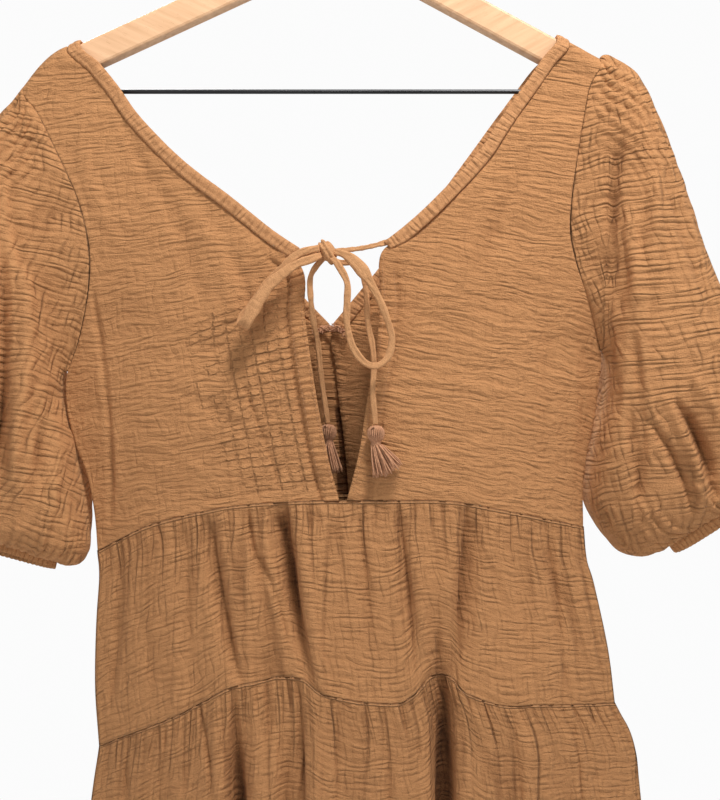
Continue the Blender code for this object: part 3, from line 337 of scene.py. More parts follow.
TIER_CREASES: dict[tuple[str, Layer], Table] = {
    ('tier1', Layer.FRONT): (
        (-45, -470, -16, -655, -2, 7.5, -3.2), (-33, -470, -9, -640, -2, 8, 4),
        (-57, -480, -35, -630, -2, 7, 2.2), (-67, -482, -57, -535, -3, 3.2, -2.6),
        (-60, -520, -38, -585, 3, 3.6, -3), (-115, -488, -110, -580, 1, 2.6, -1.7),
        (-96, -486, -73, -612, -2, 2.8, -1.9), (-84, -560, -68, -622, -3, 6, -2.6),
        (40, -480, 52, -612, 1.5, 3, -2.4), (46, -484, 60, -606, 1.5, 6, 1.8),
        (91, -482, 84, -600, -1.5, 3.4, -3), (80, -484, 73, -604, -1.5, 7, 2.4),
        (147, -494, 160, -584, 1.5, 2.8, -1.8), (11, -482, 22, -586, 1, 2.6, -1.9),
        (-150, -560, -138, -634, 4, 7, -1.4), (122, -510, 132, -610, 5, 9, -1.5),
        (-164, -500, -172, -640, 3, 6, -2.2), (136, -520, 150, -622, -4, 8, 1.2)),
    ('tier1', Layer.BACK): (
        (-150, -530, -146, -636, 4, 8, -1.6), (-100, -510, -96, -604, -3, 8, 1.4),
        (-14, -520, -18, -610, 4, 8, -1.4), (86, -505, 92, -600, -4, 9, 1.5),
        (126, -520, 136, -616, 4, 8, -1.6)),
    ('tier2', Layer.FRONT): (
        (72, -596, 76, -945, 0, 7.5, -10.5), (84, -596, 92, -945, 0, 8, 5), (58, -600, 61, -945, 0, 8, 4),
        (-79, -600, -70, -945, 3, 6.5, -7), (-91, -606, -84, -945, 3, 8, 3),
        (-31, -604, -35, -945, 3, 6, -7.5), (-20, -606, -24, -945, 3, 8, 4),
        (-104, -622, -92, -700, 2, 3, -2.6), (-158, -652, -164, -760, 2, 3, -2),
        (-4, -618, -6, -760, 1, 2.8, -2), (30, -622, 34, -770, 2, 2.8, -2),
        (122, -626, 130, -760, 2, 3, -2.2), (166, -628, 178, -760, 2, 3, -2),
        (-110, -640, -118, -900, 7, 11, -2.4), (-160, -700, -176, -930, -6, 12, 2.2),
        (-8, -650, -14, -900, 6, 11, 2.2), (36, -640, 44, -920, -7, 11, -2.2),
        (104, -650, 112, -900, 6, 12, 2.4), (142, -660, 160, -930, -6, 10, -2.2),
        (190, -680, 212, -920, 5, 10, 1.8)),
    ('tier2', Layer.BACK): (
        (-112, -650, -122, -910, 7, 12, 2.3), (-56, -640, -62, -920, -6, 11, -2.2),
        (0, -660, -4, -900, 6, 12, 2.2), (54, -640, 60, -920, -6, 10, -2.2),
        (108, -650, 120, -900, 6, 12, 2.3), (166, -660, 188, -930, -6, 11, -2)),
}
SLEEVE_CREASES: dict[Side, Table] = {
    Side.LEFT: (
        (-230, -310, -243, -488, 9, 8, 3.4), (-245, -300, -260, -490, 9, 9, -5.4),
        (-212, -400, -232, -500, 5, 6, -2), (-205, -430, -216, -516, 3, 6, 1.6),
        (-240, -230, -222, -330, -5, 7, -1.8), (-262, -260, -250, -360, 5, 9, 2),
        (-280, -330, -276, -460, -6, 9, -2.4), (-302, -380, -290, -470, 4, 8, 2)),
    Side.RIGHT: (
        (208, -360, 210, -498, 4, 6, -2.2), (216, -300, 206, -420, -6, 8, 1.8),
        (214, -420, 252, -494, 6, 5, -2.6), (246, -390, 286, -470, 6, 7, 2.2),
        (236, -408, 268, -482, 4, 8, -4.6), (226, -404, 258, -490, 5, 6, 2.4),
        (204, -260, 214, -430, 4, 7, 2.2), (262, -370, 304, -452, 6, 6, -2.3),
        (282, -360, 318, -436, 5, 6, 2), (204, -215, 196, -300, -4, 6, -2),
        (222, -240, 216, -340, 4, 8, 2)),
}
SLEEVE_BACK_CREASES: dict[Side, Table] = {
    Side.LEFT: (
        (-226, -340, -240, -490, 7, 8, -2.4), (-252, -300, -262, -450, 6, 9, 2.4),
        (-280, -350, -276, -470, -6, 9, -2.4), (-236, -230, -220, -330, -5, 8, 1.8)),
    Side.RIGHT: (
        (212, -350, 214, -490, 4, 7, -2.2), (236, -380, 272, -474, 6, 8, 2.3),
        (262, -370, 300, -450, 6, 7, -2.3), (208, -215, 200, -310, -4, 7, 1.8)),
}


# Shapes of lines and grids

def held(values: Array) -> Array:
    """Return values held between 0 and 1."""
    return np.clip(values, 0.0, 1.0)


def unit(vectors: Array) -> Array:
    """Return vectors brought to length 1."""
    return vectors / np.maximum(np.linalg.norm(vectors, axis=-1, keepdims=True), 1e-9)


def travelled(points: Array) -> Array:
    """Return how far along a polyline each of its points lies."""
    return np.r_[0.0, np.cumsum(np.linalg.norm(np.diff(points, axis=0), axis=1))]


def line_length(points: Array) -> float:
    """Return a polyline's length."""
    return float(np.linalg.norm(np.diff(points, axis=0), axis=1).sum())


def upright(flat: Array) -> Array:
    """Return a grid of front view points as points in the middle plane."""
    grid = np.zeros((*flat.shape[:2], 3))
    grid[..., 0], grid[..., 2] = flat[..., 0], flat[..., 1]
    return grid


def smooth_line(rows: Table, count: int, steps: int = 12) -> Array:
    """Return count even points on the smooth curve through a table's rows.

    Args:
        rows: The table's points.
        count: How many points to return.
        steps: How finely each stretch is followed.

    Returns:
        The points, one a row.
    """
    table = np.asarray(rows, dtype=float)
    padded = np.vstack([2 * table[0] - table[1], table, 2 * table[-1] - table[-2]])
    fine = []
    for k in range(1, len(padded) - 2):
        before, start, end, after = padded[k - 1:k + 3]
        for t in np.linspace(0.0, 1.0, steps, endpoint=False):
            fine.append(0.5 * (2 * start + (end - before) * t
                               + (2 * before - 5 * start + 4 * end - after) * t ** 2
                               + (3 * start - before - 3 * end + after) * t ** 3))
    fine.append(table[-1])
    return resample(np.array(fine), count)


def resample(points: Array, count: int) -> Array:
    """Return count points evenly spaced along a polyline."""
    points = np.asarray(points, dtype=float)
    lengths = travelled(points)
    wanted = np.linspace(0.0, lengths[-1], count)
    return np.stack([np.interp(wanted, lengths, points[:, k]) for k in range(points.shape[1])], axis=1)


def at_shares(rows: Table, shares: Array) -> Array:
    """Return points of the smooth curve through rows at shares of its length."""
    fine = smooth_line(rows, 201)
    place = np.linspace(0.0, 1.0, len(fine))
    return np.stack([np.interp(shares, place, fine[:, k]) for k in range(fine.shape[1])], axis=1)


def fill_patch(first: Array, last: Array, left: Array, right: Array,
               shares: Array) -> Array:
    """Return a grid between four edges that share their corners.

    Args:
        first: Edge that runs across at the top.
        last: Edge that runs across at the bottom.
        left: Edge that runs down at the grid's first column.
        right: Edge that runs down at its last column.
        shares: Each row's share of the way down.

    Returns:
        The grid of points.
    """
    v = np.asarray(shares)[:, None, None]
    u = np.linspace(0.0, 1.0, len(first))[None, :, None]
    across = (1 - v) * first[None] + v * last[None]
    down = (1 - u) * left[:, None] + u * right[:, None]
    corners = (1 - v) * ((1 - u) * first[0] + u * first[-1]) + v * ((1 - u) * last[0] + u * last[-1])
    return across + down - corners


def dip(distance: Array) -> Array:
    """Return a soft bump of height 1 that ends at distance 1."""
    return np.where(np.abs(distance) < 1.0, (1.0 - np.asarray(distance) ** 2) ** 2, 0.0)


def offset_line(points: Array, distance: float, side: Side) -> Array:
    """Return front view points moved across their line, to the cloth's side of it."""
    along = unit(np.gradient(points, axis=0))
    across = np.stack([along[:, 1], -along[:, 0]], axis=1)
    return points + across * distance * -side.out


def along_curve(grid: Array, knots: Array, wanted: Array) -> Array:
    """Return a grid's first axis resampled smoothly.

    Args:
        grid: Points, rows first.
        knots: Where each row lies along the way.
        wanted: Where the new rows lie.

    Returns:
        The new rows on the smooth curves through the old ones.
    """
    slopes = np.gradient(grid, knots, axis=0)
    low = np.clip(np.searchsorted(knots, wanted, "right") - 1, 0, len(knots) - 2)
    gap = (knots[low + 1] - knots[low])[:, None, None]
    t = (wanted - knots[low])[:, None, None] / gap
    return ((2 * t ** 3 - 3 * t ** 2 + 1) * grid[low] + (t ** 3 - 2 * t ** 2 + t) * gap * slopes[low]
            + (3 * t ** 2 - 2 * t ** 3) * grid[low + 1] + (t ** 3 - t ** 2) * gap * slopes[low + 1])


def spread(grid: Array) -> Array:
    """Return how far down the grid each of its rows lies, on average."""
    steps = np.linalg.norm(np.diff(grid, axis=0), axis=2).mean(axis=1)
    return np.r_[0.0, np.cumsum(steps)]


def refine(grid: Array, step: float, around: bool = False, low_step: float = 0.0,
           low_from: float = 1.0) -> Array:
    """Return a grid made finer on the smooth surface through its points.

    Args:
        grid: Coarse points.
        step: Size of a cell.
        around: Whether the rows are closed rings.
        low_step: Size of a cell down the lower part, or 0 for the same.
        low_from: Share of the way down where the lower part starts.

    Returns:
        The fine grid.
    """
    down = spread(grid)
    turn = down[-1] * low_from
    wanted = np.linspace(0.0, turn, int(round(turn / step)) + 1)
    if low_from < 1.0:
        rest = np.linspace(turn, down[-1], int(round((down[-1] - turn) / (low_step or step))) + 1)
        wanted = np.r_[wanted, rest[1:]]
    fine = along_curve(grid, down, wanted)
    turned = np.swapaxes(fine, 0, 1)
    if around:
        lap = np.concatenate([turned[-2:], turned, turned[:3]], axis=0)
        places = spread(lap)
        start, end = places[2], places[-3]
        wanted = np.linspace(start, end, int(round((end - start) / step)) + 1)[:-1]
        return np.swapaxes(along_curve(lap, places, wanted), 0, 1)
    places = spread(turned)
    wanted = np.linspace(0.0, places[-1], int(round(places[-1] / step)) + 1)
    return np.swapaxes(along_curve(turned, places, wanted), 0, 1)


def grid_normals(grid: Array, around: bool, facing: Array) -> Array:
    """Return unit normals of a grid of points, turned to point along facing."""
    if around:
        across = np.roll(grid, -1, axis=1) - np.roll(grid, 1, axis=1)
    else:
        across = np.gradient(grid, axis=1)
    normals = unit(np.cross(across, np.gradient(grid, axis=0)))
    return -normals if np.sum(normals * facing) < 0.0 else normals


def lattice(u: Array, v: Array, cell_u: float, cell_v: float, seed: int) -> Array:
    """Return soft random waves between -1 and 1 over cloth lengths.

    Args:
        u: Length across at each point.
        v: Length down at each point.
        cell_u: Width of a random cell.
        cell_v: Height of a random cell.
        seed: Which random field to take.

    Returns:
        The field's value at each point.
    """
    values = np.random.default_rng(seed).uniform(-1.0, 1.0, (LATTICE_CELLS, LATTICE_CELLS))
    a, b = u / cell_u + seed * 3.7, v / cell_v + seed * 1.9
    i, j = np.floor(a).astype(int), np.floor(b).astype(int)
    s, t = a - i, b - j
    s, t = s * s * (3 - 2 * s), t * t * (3 - 2 * t)
    i0, i1 = i % LATTICE_CELLS, (i + 1) % LATTICE_CELLS
    j0, j1 = j % LATTICE_CELLS, (j + 1) % LATTICE_CELLS
    top = values[i0, j0] * (1 - s) + values[i1, j0] * s
    low = values[i0, j1] * (1 - s) + values[i1, j1] * s
    return top * (1 - t) + low * t


def cloth_lengths(grid: Array) -> tuple[Array, Array]:
    """Return the lengths across and down the cloth at each point of a grid."""
    across = np.linalg.norm(np.diff(grid, axis=1), axis=2).mean(axis=0)
    down = np.linalg.norm(np.diff(grid, axis=0), axis=2).mean(axis=1)
    u, v = np.meshgrid(np.r_[0.0, np.cumsum(across)], np.r_[0.0, np.cumsum(down)])
    return u, v


def front_map(grid: Array, degrees: float) -> tuple[Array, Array]:
    """Return each point's place on cloth whose thread lies at an angle in the front view.

    Args:
        grid: The points.
        degrees: How far the thread across rises to the right.

    Returns:
        The lengths across and down.
    """
    x, y, z = grid[..., 0], np.abs(grid[..., 1]), grid[..., 2]
    middle, half = (x.max(axis=1) + x.min(axis=1)) / 2, np.maximum(np.ptp(x, axis=1) / 2, 1.0)
    turned = np.clip((x - middle[:, None]) / half[:, None], -1.0, 1.0)
    flat = x - MAP_WRAP * y * turned
    along, up = math.cos(math.radians(degrees)), math.sin(math.radians(degrees))
    return flat * along + z * up + MAP_SHIFT, flat * up - z * along + MAP_SHIFT


def crease_field(x: Array, z: Array, creases: Table) -> Array:
    """Return the height that a table of creases gives each point.

    Args:
        x: Front view x of the points.
        z: Front view z of the points.
        creases: Rows of x, z at one end, x, z at the other, bow, half width, height.

    Returns:
        The height, negative in a trough.
    """
    height = np.zeros_like(x)
    for ax, az, bx, bz, bow, width, rise in creases:
        along = np.array([bx - ax, bz - az], dtype=float)
        length = float(np.hypot(*along))
        along /= length
        t = ((x - ax) * along[0] + (z - az) * along[1]) / length
        off = (z - az) * along[0] - (x - ax) * along[1] - bow * 4 * t * (1 - t)
        ends = held(1.0 - (2 * t - 1) ** 2) ** 0.6
        height += rise * dip(off / (width * (0.55 + 0.45 * ends))) * ends
    return height


# Effects that several finishes share

def new_group(name: str, inputs: dict[str, float], outputs: tuple[str, ...]) -> tuple:
    """Return a new shader node group, its inputs' node and its outputs' node.

    Args:
        name: The group's name.
        inputs: Name and plain value of each number that goes in.
        outputs: Names of the numbers that come out.

    Returns:
        The group, the node that its inputs come from and the node its outputs go to.
    """
    group = bpy.data.node_groups.new(name, "ShaderNodeTree")
    group.interface.new_socket("Place", in_out="INPUT", socket_type="NodeSocketVector")
    for label, value in inputs.items():
        socket = group.interface.new_socket(label, in_out="INPUT", socket_type="NodeSocketFloat")
        socket.default_value = value
    for label in outputs:
        group.interface.new_socket(label, in_out="OUTPUT", socket_type="NodeSocketFloat")
    return group, group.nodes.new("NodeGroupInput"), group.nodes.new("NodeGroupOutput")


class Nodes:
    """A short hand for adding and joining the nodes of one tree."""

    def __init__(self, tree: NodeTree) -> None:
        """Keep the tree that nodes are added to."""
        self.tree = tree

    def add(self, kind: str, values: dict | None = None, **settings) -> bpy.types.Node:
        """Add a node.

        Args:
            kind: The node's type.
            values: Plain values, or sockets to join, by input name or number.
            **settings: Properties of the node itself.

        Returns:
            The node.
        """
        node = self.tree.nodes.new(kind)
        for label, value in settings.items():
            setattr(node, label, value)
        for label, value in (values or {}).items():
            if isinstance(value, Socket):
                self.tree.links.new(value, node.inputs[label])
            else:
                node.inputs[label].default_value = value
        return node

    def join(self, source: Socket, target: Socket) -> None:
        """Join two sockets."""
        self.tree.links.new(source, target)

    def sum(self, kind: str, first, second) -> Socket:
        """Return the result of a sum of two numbers or sockets."""
        return self.add("ShaderNodeMath", {0: first, 1: second}, operation=kind).outputs[0]

    def plus(self, first, second) -> Socket:
        """Return two numbers or sockets added."""
        return self.sum("ADD", first, second)

    def less(self, first, second) -> Socket:
        """Return the first less the second."""
        return self.sum("SUBTRACT", first, second)

    def times(self, first, second) -> Socket:
        """Return two numbers or sockets multiplied."""
        return self.sum("MULTIPLY", first, second)

    def size(self, value: Socket) -> Socket:
        """Return a number without its sign."""
        return self.sum("ABSOLUTE", value, 0.0)

    def ranged(self, value: Socket, low: float, high: float, at_low: float, at_high: float) -> Socket:
        """Return a value that goes from one number to another as a socket goes from low to high."""
        return self.add("ShaderNodeMapRange", {0: value, 1: low, 2: high, 3: at_low, 4: at_high}).outputs[0]

    def moved(self, place: Socket, by) -> Socket:
        """Return a place moved by a vector or a socket."""
        return self.add("ShaderNodeVectorMath", {0: place, 1: by}, operation="ADD").outputs[0]

    def stored(self, name: str) -> Socket:
        """Return the number that each point holds under a name."""
        return self.add("ShaderNodeAttribute", attribute_name=name).outputs["Fac"]

    def noise(self, place: Socket, scale: float, detail: float = 2.0) -> Socket:
        """Return the value of a noise at a place."""
        return self.add("ShaderNodeTexNoise", {"Vector": place, "Scale": scale, "Detail": detail}).outputs[0]

    def stretched(self, place: Socket, scale: tuple[float, float, float]) -> Socket:
        """Return a place stretched along its axes."""
        return self.add("ShaderNodeMapping", {"Vector": place, "Scale": scale}).outputs[0]


def crinkle_group() -> NodeTree:
    """Build the group that gives gauze its puckers, from lengths across and down in metres. Its tone is
    painted shade in the troughs and painted light on the crests.
    """
    inputs = {"Ripple": 1.0, "Crease": 0.6, "Streak": 0.6, "Fine": 0.35}
    group, source, target = new_group("gauze crinkle", inputs, ("Height", "Tone"))
    nodes = Nodes(group)
    place = source.outputs["Place"]
    drift = nodes.times(nodes.less(nodes.noise(place, 30.0, 1.0), 0.5), 0.010)
    bent = nodes.moved(place, nodes.add("ShaderNodeCombineXYZ", {0: drift, 1: drift}).outputs[0])
    split = nodes.add("ShaderNodeSeparateXYZ", {0: bent})
    lines = []
    ways = ((1, 0.0046, (34.0, 150.0, 1.0), 0.0), (0, 0.0058, (140.0, 40.0, 1.0), 3.0))
    for axis, pitch, along, seed in ways:
        shifted = nodes.moved(bent, (seed, seed, 0.0))
        wander = nodes.times(nodes.noise(nodes.stretched(shifted, along), 1.0, 1.0), 5.5)
        turns = nodes.plus(nodes.times(split.outputs[axis], math.pi / pitch), wander)
        ridge = nodes.sum("POWER", nodes.size(nodes.sum("SINE", turns, 0.0)), 0.85)
        patch = nodes.noise(nodes.stretched(shifted, (75.0, 75.0, 1.0)), 1.0, 1.0)
        strength = nodes.ranged(patch, 0.36, 0.66, 0.1, 1.0)
        lines.append(nodes.times(nodes.less(ridge, 0.66), strength))
    long_streak = nodes.noise(nodes.stretched(bent, (48.0, 205.0, 1.0)), 1.0, 1.6)
    short_streak = nodes.noise(nodes.stretched(bent, (170.0, 400.0, 1.0)), 1.0, 1.0)
    fine = nodes.noise(nodes.stretched(place, (1150.0, 1350.0, 1.0)), 1.0, 1.0)
    streak = nodes.plus(nodes.times(nodes.less(long_streak, 0.5), 2.2),
                       nodes.times(nodes.less(short_streak, 0.5), 1.5))
    one = nodes.times(lines[0], source.outputs["Ripple"])
    two = nodes.times(lines[1], source.outputs["Crease"])
    three = nodes.times(streak, source.outputs["Streak"])
    four = nodes.times(nodes.less(fine, 0.5), source.outputs["Fine"])
    both = nodes.plus(nodes.plus(one, two), three)
    nodes.join(nodes.plus(both, four), target.inputs["Height"])
    # Painted shade and light: the tone follows the puckers' height, darker in the troughs and lighter on the
    # crests; the fine noise adds random tone.
    pucker_shade_and_tone = nodes.plus(nodes.times(both, 0.2), nodes.times(four, 1.2))
    nodes.join(nodes.plus(pucker_shade_and_tone, 0.62), target.inputs["Tone"])
    return group


def pleat_group() -> NodeTree:
    """Build the group of thin pressed pleats that run down from a gathered seam."""
    group, source, target = new_group("pressed pleats", {"Reach": 0.05, "Pitch": 105.0}, ("Height",))
    nodes = Nodes(group)
    place = source.outputs["Place"]
    split = nodes.add("ShaderNodeSeparateXYZ", {0: place})
    lines = []
    for pitch, down, reach in ((1.0, 9.0, 1.0), (0.45, 4.0, 3.2)):
        across = nodes.times(split.outputs[0], nodes.times(source.outputs["Pitch"], pitch))
        point = nodes.add("ShaderNodeCombineXYZ", {0: across, 1: nodes.times(split.outputs[1], down),
                                                   2: pitch * 7.0}).outputs[0]
        crest = nodes.size(nodes.less(nodes.noise(point, 1.0, 0.6), 0.5))
        thin = 0.05 * pitch ** 0.4
        line = nodes.ranged(crest, 0.0, thin, 1.0, 0.0)
        uneven = nodes.noise(nodes.stretched(place, (95.0 * pitch, 5.0, 1.0)), 1.0, 1.0)
        far = nodes.times(source.outputs["Reach"], nodes.times(uneven, 2.0 * reach))
        fade = nodes.ranged(nodes.sum("DIVIDE", split.outputs[1], far), 0.3, 1.3, 1.0, 0.0)
        depth = nodes.ranged(uneven, 0.35, 0.65, 0.1, 1.0)
        lines.append(nodes.times(nodes.times(line, fade), depth))
    nodes.join(nodes.sum("MAXIMUM", lines[0], lines[1]), target.inputs["Height"])
    return group


def seam_group() -> NodeTree:
    """Build the group that draws a sewn seam's groove and lip from the distance to it in millimetres, with
    painted shade in the groove and a painted highlight on the lip.
    """
    group, source, target = new_group("sewn seam", {"Distance": 50.0, "Lip": 0.0}, ("Height", "Tone"))
    nodes = Nodes(group)
    tug = nodes.noise(nodes.stretched(source.outputs["Place"], (310.0, 310.0, 1.0)), 1.0, 1.0)
    wander = nodes.plus(source.outputs["Distance"], nodes.times(nodes.less(tug, 0.5), 1.1))
    groove = nodes.ranged(wander, 0.0, 0.75, 1.0, 0.0)
    off = nodes.size(nodes.less(source.outputs["Distance"], 1.7))
    ridge = nodes.ranged(off, 0.3, 1.1, 1.0, 0.0)
    lip = nodes.times(ridge, source.outputs["Lip"])
    nodes.join(nodes.less(lip, groove), target.inputs["Height"])
    # Painted shade darkens the groove and a painted highlight lightens the lip.
    nodes.join(nodes.less(nodes.times(lip, 0.22), nodes.times(groove, 0.13)),
               target.inputs["Tone"])
    return group


def weave_group() -> NodeTree:
    """Build the group that gives cloth its open plain weave."""
    group, source, target = new_group("open weave", {"Threads": 1500.0}, ("Height", "Tone"))
    nodes = Nodes(group)
    split = nodes.add("ShaderNodeSeparateXYZ", {0: source.outputs["Place"]})
    waves = []
    for axis in (0, 1):
        turn = nodes.times(split.outputs[axis], source.outputs["Threads"])
        waves.append(nodes.size(nodes.sum("SINE", nodes.times(turn, math.pi), 0.0)))
    height = nodes.times(waves[0], waves[1])
    nodes.join(height, target.inputs["Height"])
    slub = nodes.noise(nodes.stretched(source.outputs["Place"], (60.0, 900.0, 1.0)), 1.0, 2.0)
    nodes.join(slub, target.inputs["Tone"])
    return group


def grain_group() -> NodeTree:
    """Build the group that gives wood its long fine grain."""
    group, source, target = new_group("beech grain", {"Stretch": 1.0}, ("Height", "Tone"))
    nodes = Nodes(group)
    place = nodes.stretched(source.outputs["Place"], (14.0, 160.0, 260.0))
    long_grain = nodes.noise(place, 1.0, 4.0)
    pores = nodes.noise(nodes.stretched(source.outputs["Place"], (130.0, 1700.0, 1700.0)), 1.0, 2.0)
    dark = nodes.sum("GREATER_THAN", pores, 0.66)
    nodes.join(nodes.less(long_grain, nodes.times(dark, 0.25)), target.inputs["Tone"])
    nodes.join(nodes.times(dark, source.outputs["Stretch"]), target.inputs["Height"])
    return group


class Effects:
    """The shared node groups, each built once."""

    def __init__(self) -> None:
        """Build the groups."""
        self.crinkle = crinkle_group()
        self.pleats = pleat_group()
        self.seam = seam_group()
        self.weave = weave_group()
        self.grain = grain_group()


def place_group(nodes: Nodes, group: NodeTree, place: Socket,
                values: dict[str, float]) -> bpy.types.Node:
    """Place a shared group in a material with its own values."""
    node = nodes.add("ShaderNodeGroup", node_tree=group)
    nodes.join(place, node.inputs["Place"])
    for label, value in values.items():
        node.inputs[label].default_value = value
    return node


def start_material(name: str, roughness: float, metallic: float = 0.0) -> tuple:
    """Return a new material, its nodes and its main shader."""
    material = bpy.data.materials.new(name)
    material.use_nodes = True
    shader = material.node_tree.nodes["Principled BSDF"]
    shader.inputs["Roughness"].default_value = roughness
    shader.inputs["Metallic"].default_value = metallic
    return material, Nodes(material.node_tree), shader


def blend_colours(nodes: Nodes, factor: Socket,
                  stops: tuple[tuple[float, tuple[float, float, float]], ...]) -> Socket:
    """Return a colour that goes through stops as a factor rises."""
    ramp = nodes.add("ShaderNodeValToRGB", {0: factor})
    elements = ramp.color_ramp.elements
    while len(elements) < len(stops):
        elements.new(0.5)
    for element, (where, colour) in zip(elements, stops):
        element.position = where
        element.color = (*colour, 1.0)
    return ramp.outputs[0]


@dataclass(frozen=True)
class GauzeFinish:
    """Crinkled double gauze cotton in warm tan."""

    name: str
    light: tuple[float, float, float] = (0.545, 0.262, 0.108)
    deep: tuple[float, float, float] = (0.30, 0.13, 0.05)
    ripple: float = 0.55
    crease: float = 0.35
    streak: float = 0.7
    fine: float = 0.45
    relief: float = 1.0
    distance: float = 0.0014
    pleat: float = 0.0
    reach: float = 0.04
    lip: float = 0.0

    def material(self, effects: Effects) -> Material:
        """Build the material."""
        material, nodes, shader = start_material(self.name, 0.92)
        place = nodes.add("ShaderNodeUVMap", uv_map="cloth").outputs[0]
        crinkle = place_group(nodes, effects.crinkle, place,
                              {"Ripple": self.ripple, "Crease": self.crease, "Streak": self.streak,
                               "Fine": self.fine})
        weave = place_group(nodes, effects.weave, place, {"Threads": 1300.0})
        threads = nodes.plus(weave.outputs["Height"], weave.outputs["Tone"])
        seam = place_group(nodes, effects.seam, place, {"Lip": self.lip})
        nodes.join(nodes.stored("seam"), seam.inputs["Distance"])
        # Painted shade: the colour darkens where the cloth lies below the cloth around it, in folds and
        # hollows.
        shade = nodes.ranged(nodes.stored("hollow_shade"), 0.3, 9.0, 0.0, 0.6)
        # The crinkle's tone carries painted shade in its troughs and painted light on its crests.
        tone = nodes.plus(nodes.times(crinkle.outputs["Tone"], 0.85),
                         nodes.times(threads, 0.08))
        wide = nodes.noise(nodes.stretched(place, (9.0, 7.0, 1.0)), 1.0, 2.0)
        tone = nodes.plus(tone, nodes.times(wide, 0.14))
        # Painted shade in seam grooves and a painted highlight on seam lips.
        tone = nodes.plus(tone, seam.outputs["Tone"])
        tone = nodes.less(tone, shade)
        relief = nodes.plus(crinkle.outputs["Height"], nodes.times(seam.outputs["Height"], 1.4))
        if self.pleat:
            pleats = place_group(nodes, effects.pleats, place, {"Reach": self.reach}).outputs["Height"]
            # Painted shade along the pressed pleats' troughs.
            tone = nodes.less(tone, nodes.times(pleats, 0.3 * self.pleat))
            relief = nodes.less(relief, nodes.times(pleats, 1.3 * self.pleat))
        # The darkest stop is reached through the painted shade in hollows, creases and seams.
        stops = ((0.0, (0.075, 0.028, 0.010)), (0.36, self.deep), (0.78, self.light))
        nodes.join(blend_colours(nodes, tone, stops), shader.inputs["Base Color"])
        fine = nodes.add("ShaderNodeBump", {"Height": threads, "Strength": 0.4, "Distance": 0.0002})
        bump = nodes.add("ShaderNodeBump", {"Height": relief, "Strength": self.relief,
                                            "Distance": self.distance, "Normal": fine.outputs[0]})
        nodes.join(bump.outputs[0], shader.inputs["Normal"])
        rough = nodes.ranged(weave.outputs["Tone"], 0.0, 1.0, 0.84, 0.98)
        nodes.join(rough, shader.inputs["Roughness"])
        shader.inputs["Specular IOR Level"].default_value = 0.18
        shader.inputs["Sheen Weight"].default_value = 0.06
        shader.inputs["Sheen Roughness"].default_value = 0.6
        shader.inputs["Sheen Tint"].default_value = (0.85, 0.58, 0.38, 1.0)
        return material


@dataclass(frozen=True)
class YarnFinish:
    """Twisted cotton yarn, for stitches and tassels."""

    name: str
    light: tuple[float, float, float]
    deep: tuple[float, float, float]

    def material(self, effects: Effects) -> Material:
        """Build the material."""
        material, nodes, shader = start_material(self.name, 0.9)
        place = nodes.add("ShaderNodeTexCoord").outputs["Object"]
        weave = place_group(nodes, effects.weave, place, {"Threads": 1900.0})
        patch = nodes.noise(place, 520.0, 3.0)
        tone = nodes.plus(nodes.times(weave.outputs["Height"], 0.3), nodes.times(patch, 0.8))
        colour = blend_colours(nodes, tone, ((0.3, self.deep), (0.8, self.light)))
        nodes.join(colour, shader.inputs["Base Color"])
        bump = nodes.add("ShaderNodeBump", {"Height": tone, "Strength": 0.6, "Distance": 0.0003})
        nodes.join(bump.outputs[0], shader.inputs["Normal"])
        return material


@dataclass(frozen=True)
class WoodFinish:
    """Waxed beech with a fine straight grain."""

    name: str
    slope: float
    light: tuple[float, float, float] = (0.86, 0.53, 0.30)
    deep: tuple[float, float, float] = (0.66, 0.36, 0.18)

    def material(self, effects: Effects) -> Material:
        """Build the material, its grain laid along the arm."""
        material, nodes, shader = start_material(self.name, 0.42)
        place = nodes.add("ShaderNodeTexCoord").outputs["Object"]
        tilt = (0.0, math.atan(self.slope), 0.0)
        turned = nodes.add("ShaderNodeMapping", {"Vector": place, "Rotation": tilt})
        grain = place_group(nodes, effects.grain, turned.outputs[0], {"Stretch": 1.0})
        colour = blend_colours(nodes, grain.outputs["Tone"], ((0.2, self.deep), (0.65, self.light)))
        nodes.join(colour, shader.inputs["Base Color"])
        rough = nodes.ranged(grain.outputs["Tone"], 0.0, 1.0, 0.52, 0.36)
        nodes.join(rough, shader.inputs["Roughness"])
        pores = {"Height": grain.outputs["Height"], "Strength": 0.25, "Distance": 0.0002}
        bump = nodes.add("ShaderNodeBump", pores, invert=True)
        nodes.join(bump.outputs[0], shader.inputs["Normal"])
        shader.inputs["Coat Weight"].default_value = 0.15
        return material


@dataclass(frozen=True)
class MetalFinish:
    """Drawn wire, plated or lacquered."""

    name: str
    light: tuple[float, float, float]
    deep: tuple[float, float, float]
    roughness: float
    metallic: float

    def material(self, effects: Effects) -> Material:
        """Build the material with faint draw marks and rubbed spots."""
        material, nodes, shader = start_material(self.name, self.roughness, self.metallic)
        place = nodes.add("ShaderNodeTexCoord").outputs["Object"]
        marks = place_group(nodes, effects.grain, place, {"Stretch": 1.0})
        nodes.join(blend_colours(nodes, marks.outputs["Tone"], ((0.3, self.deep), (0.7, self.light))),
                   shader.inputs["Base Color"])
        rough = nodes.ranged(marks.outputs["Tone"], 0.0, 1.0, self.roughness + 0.1, self.roughness - 0.06)
        nodes.join(rough, shader.inputs["Roughness"])
        return material


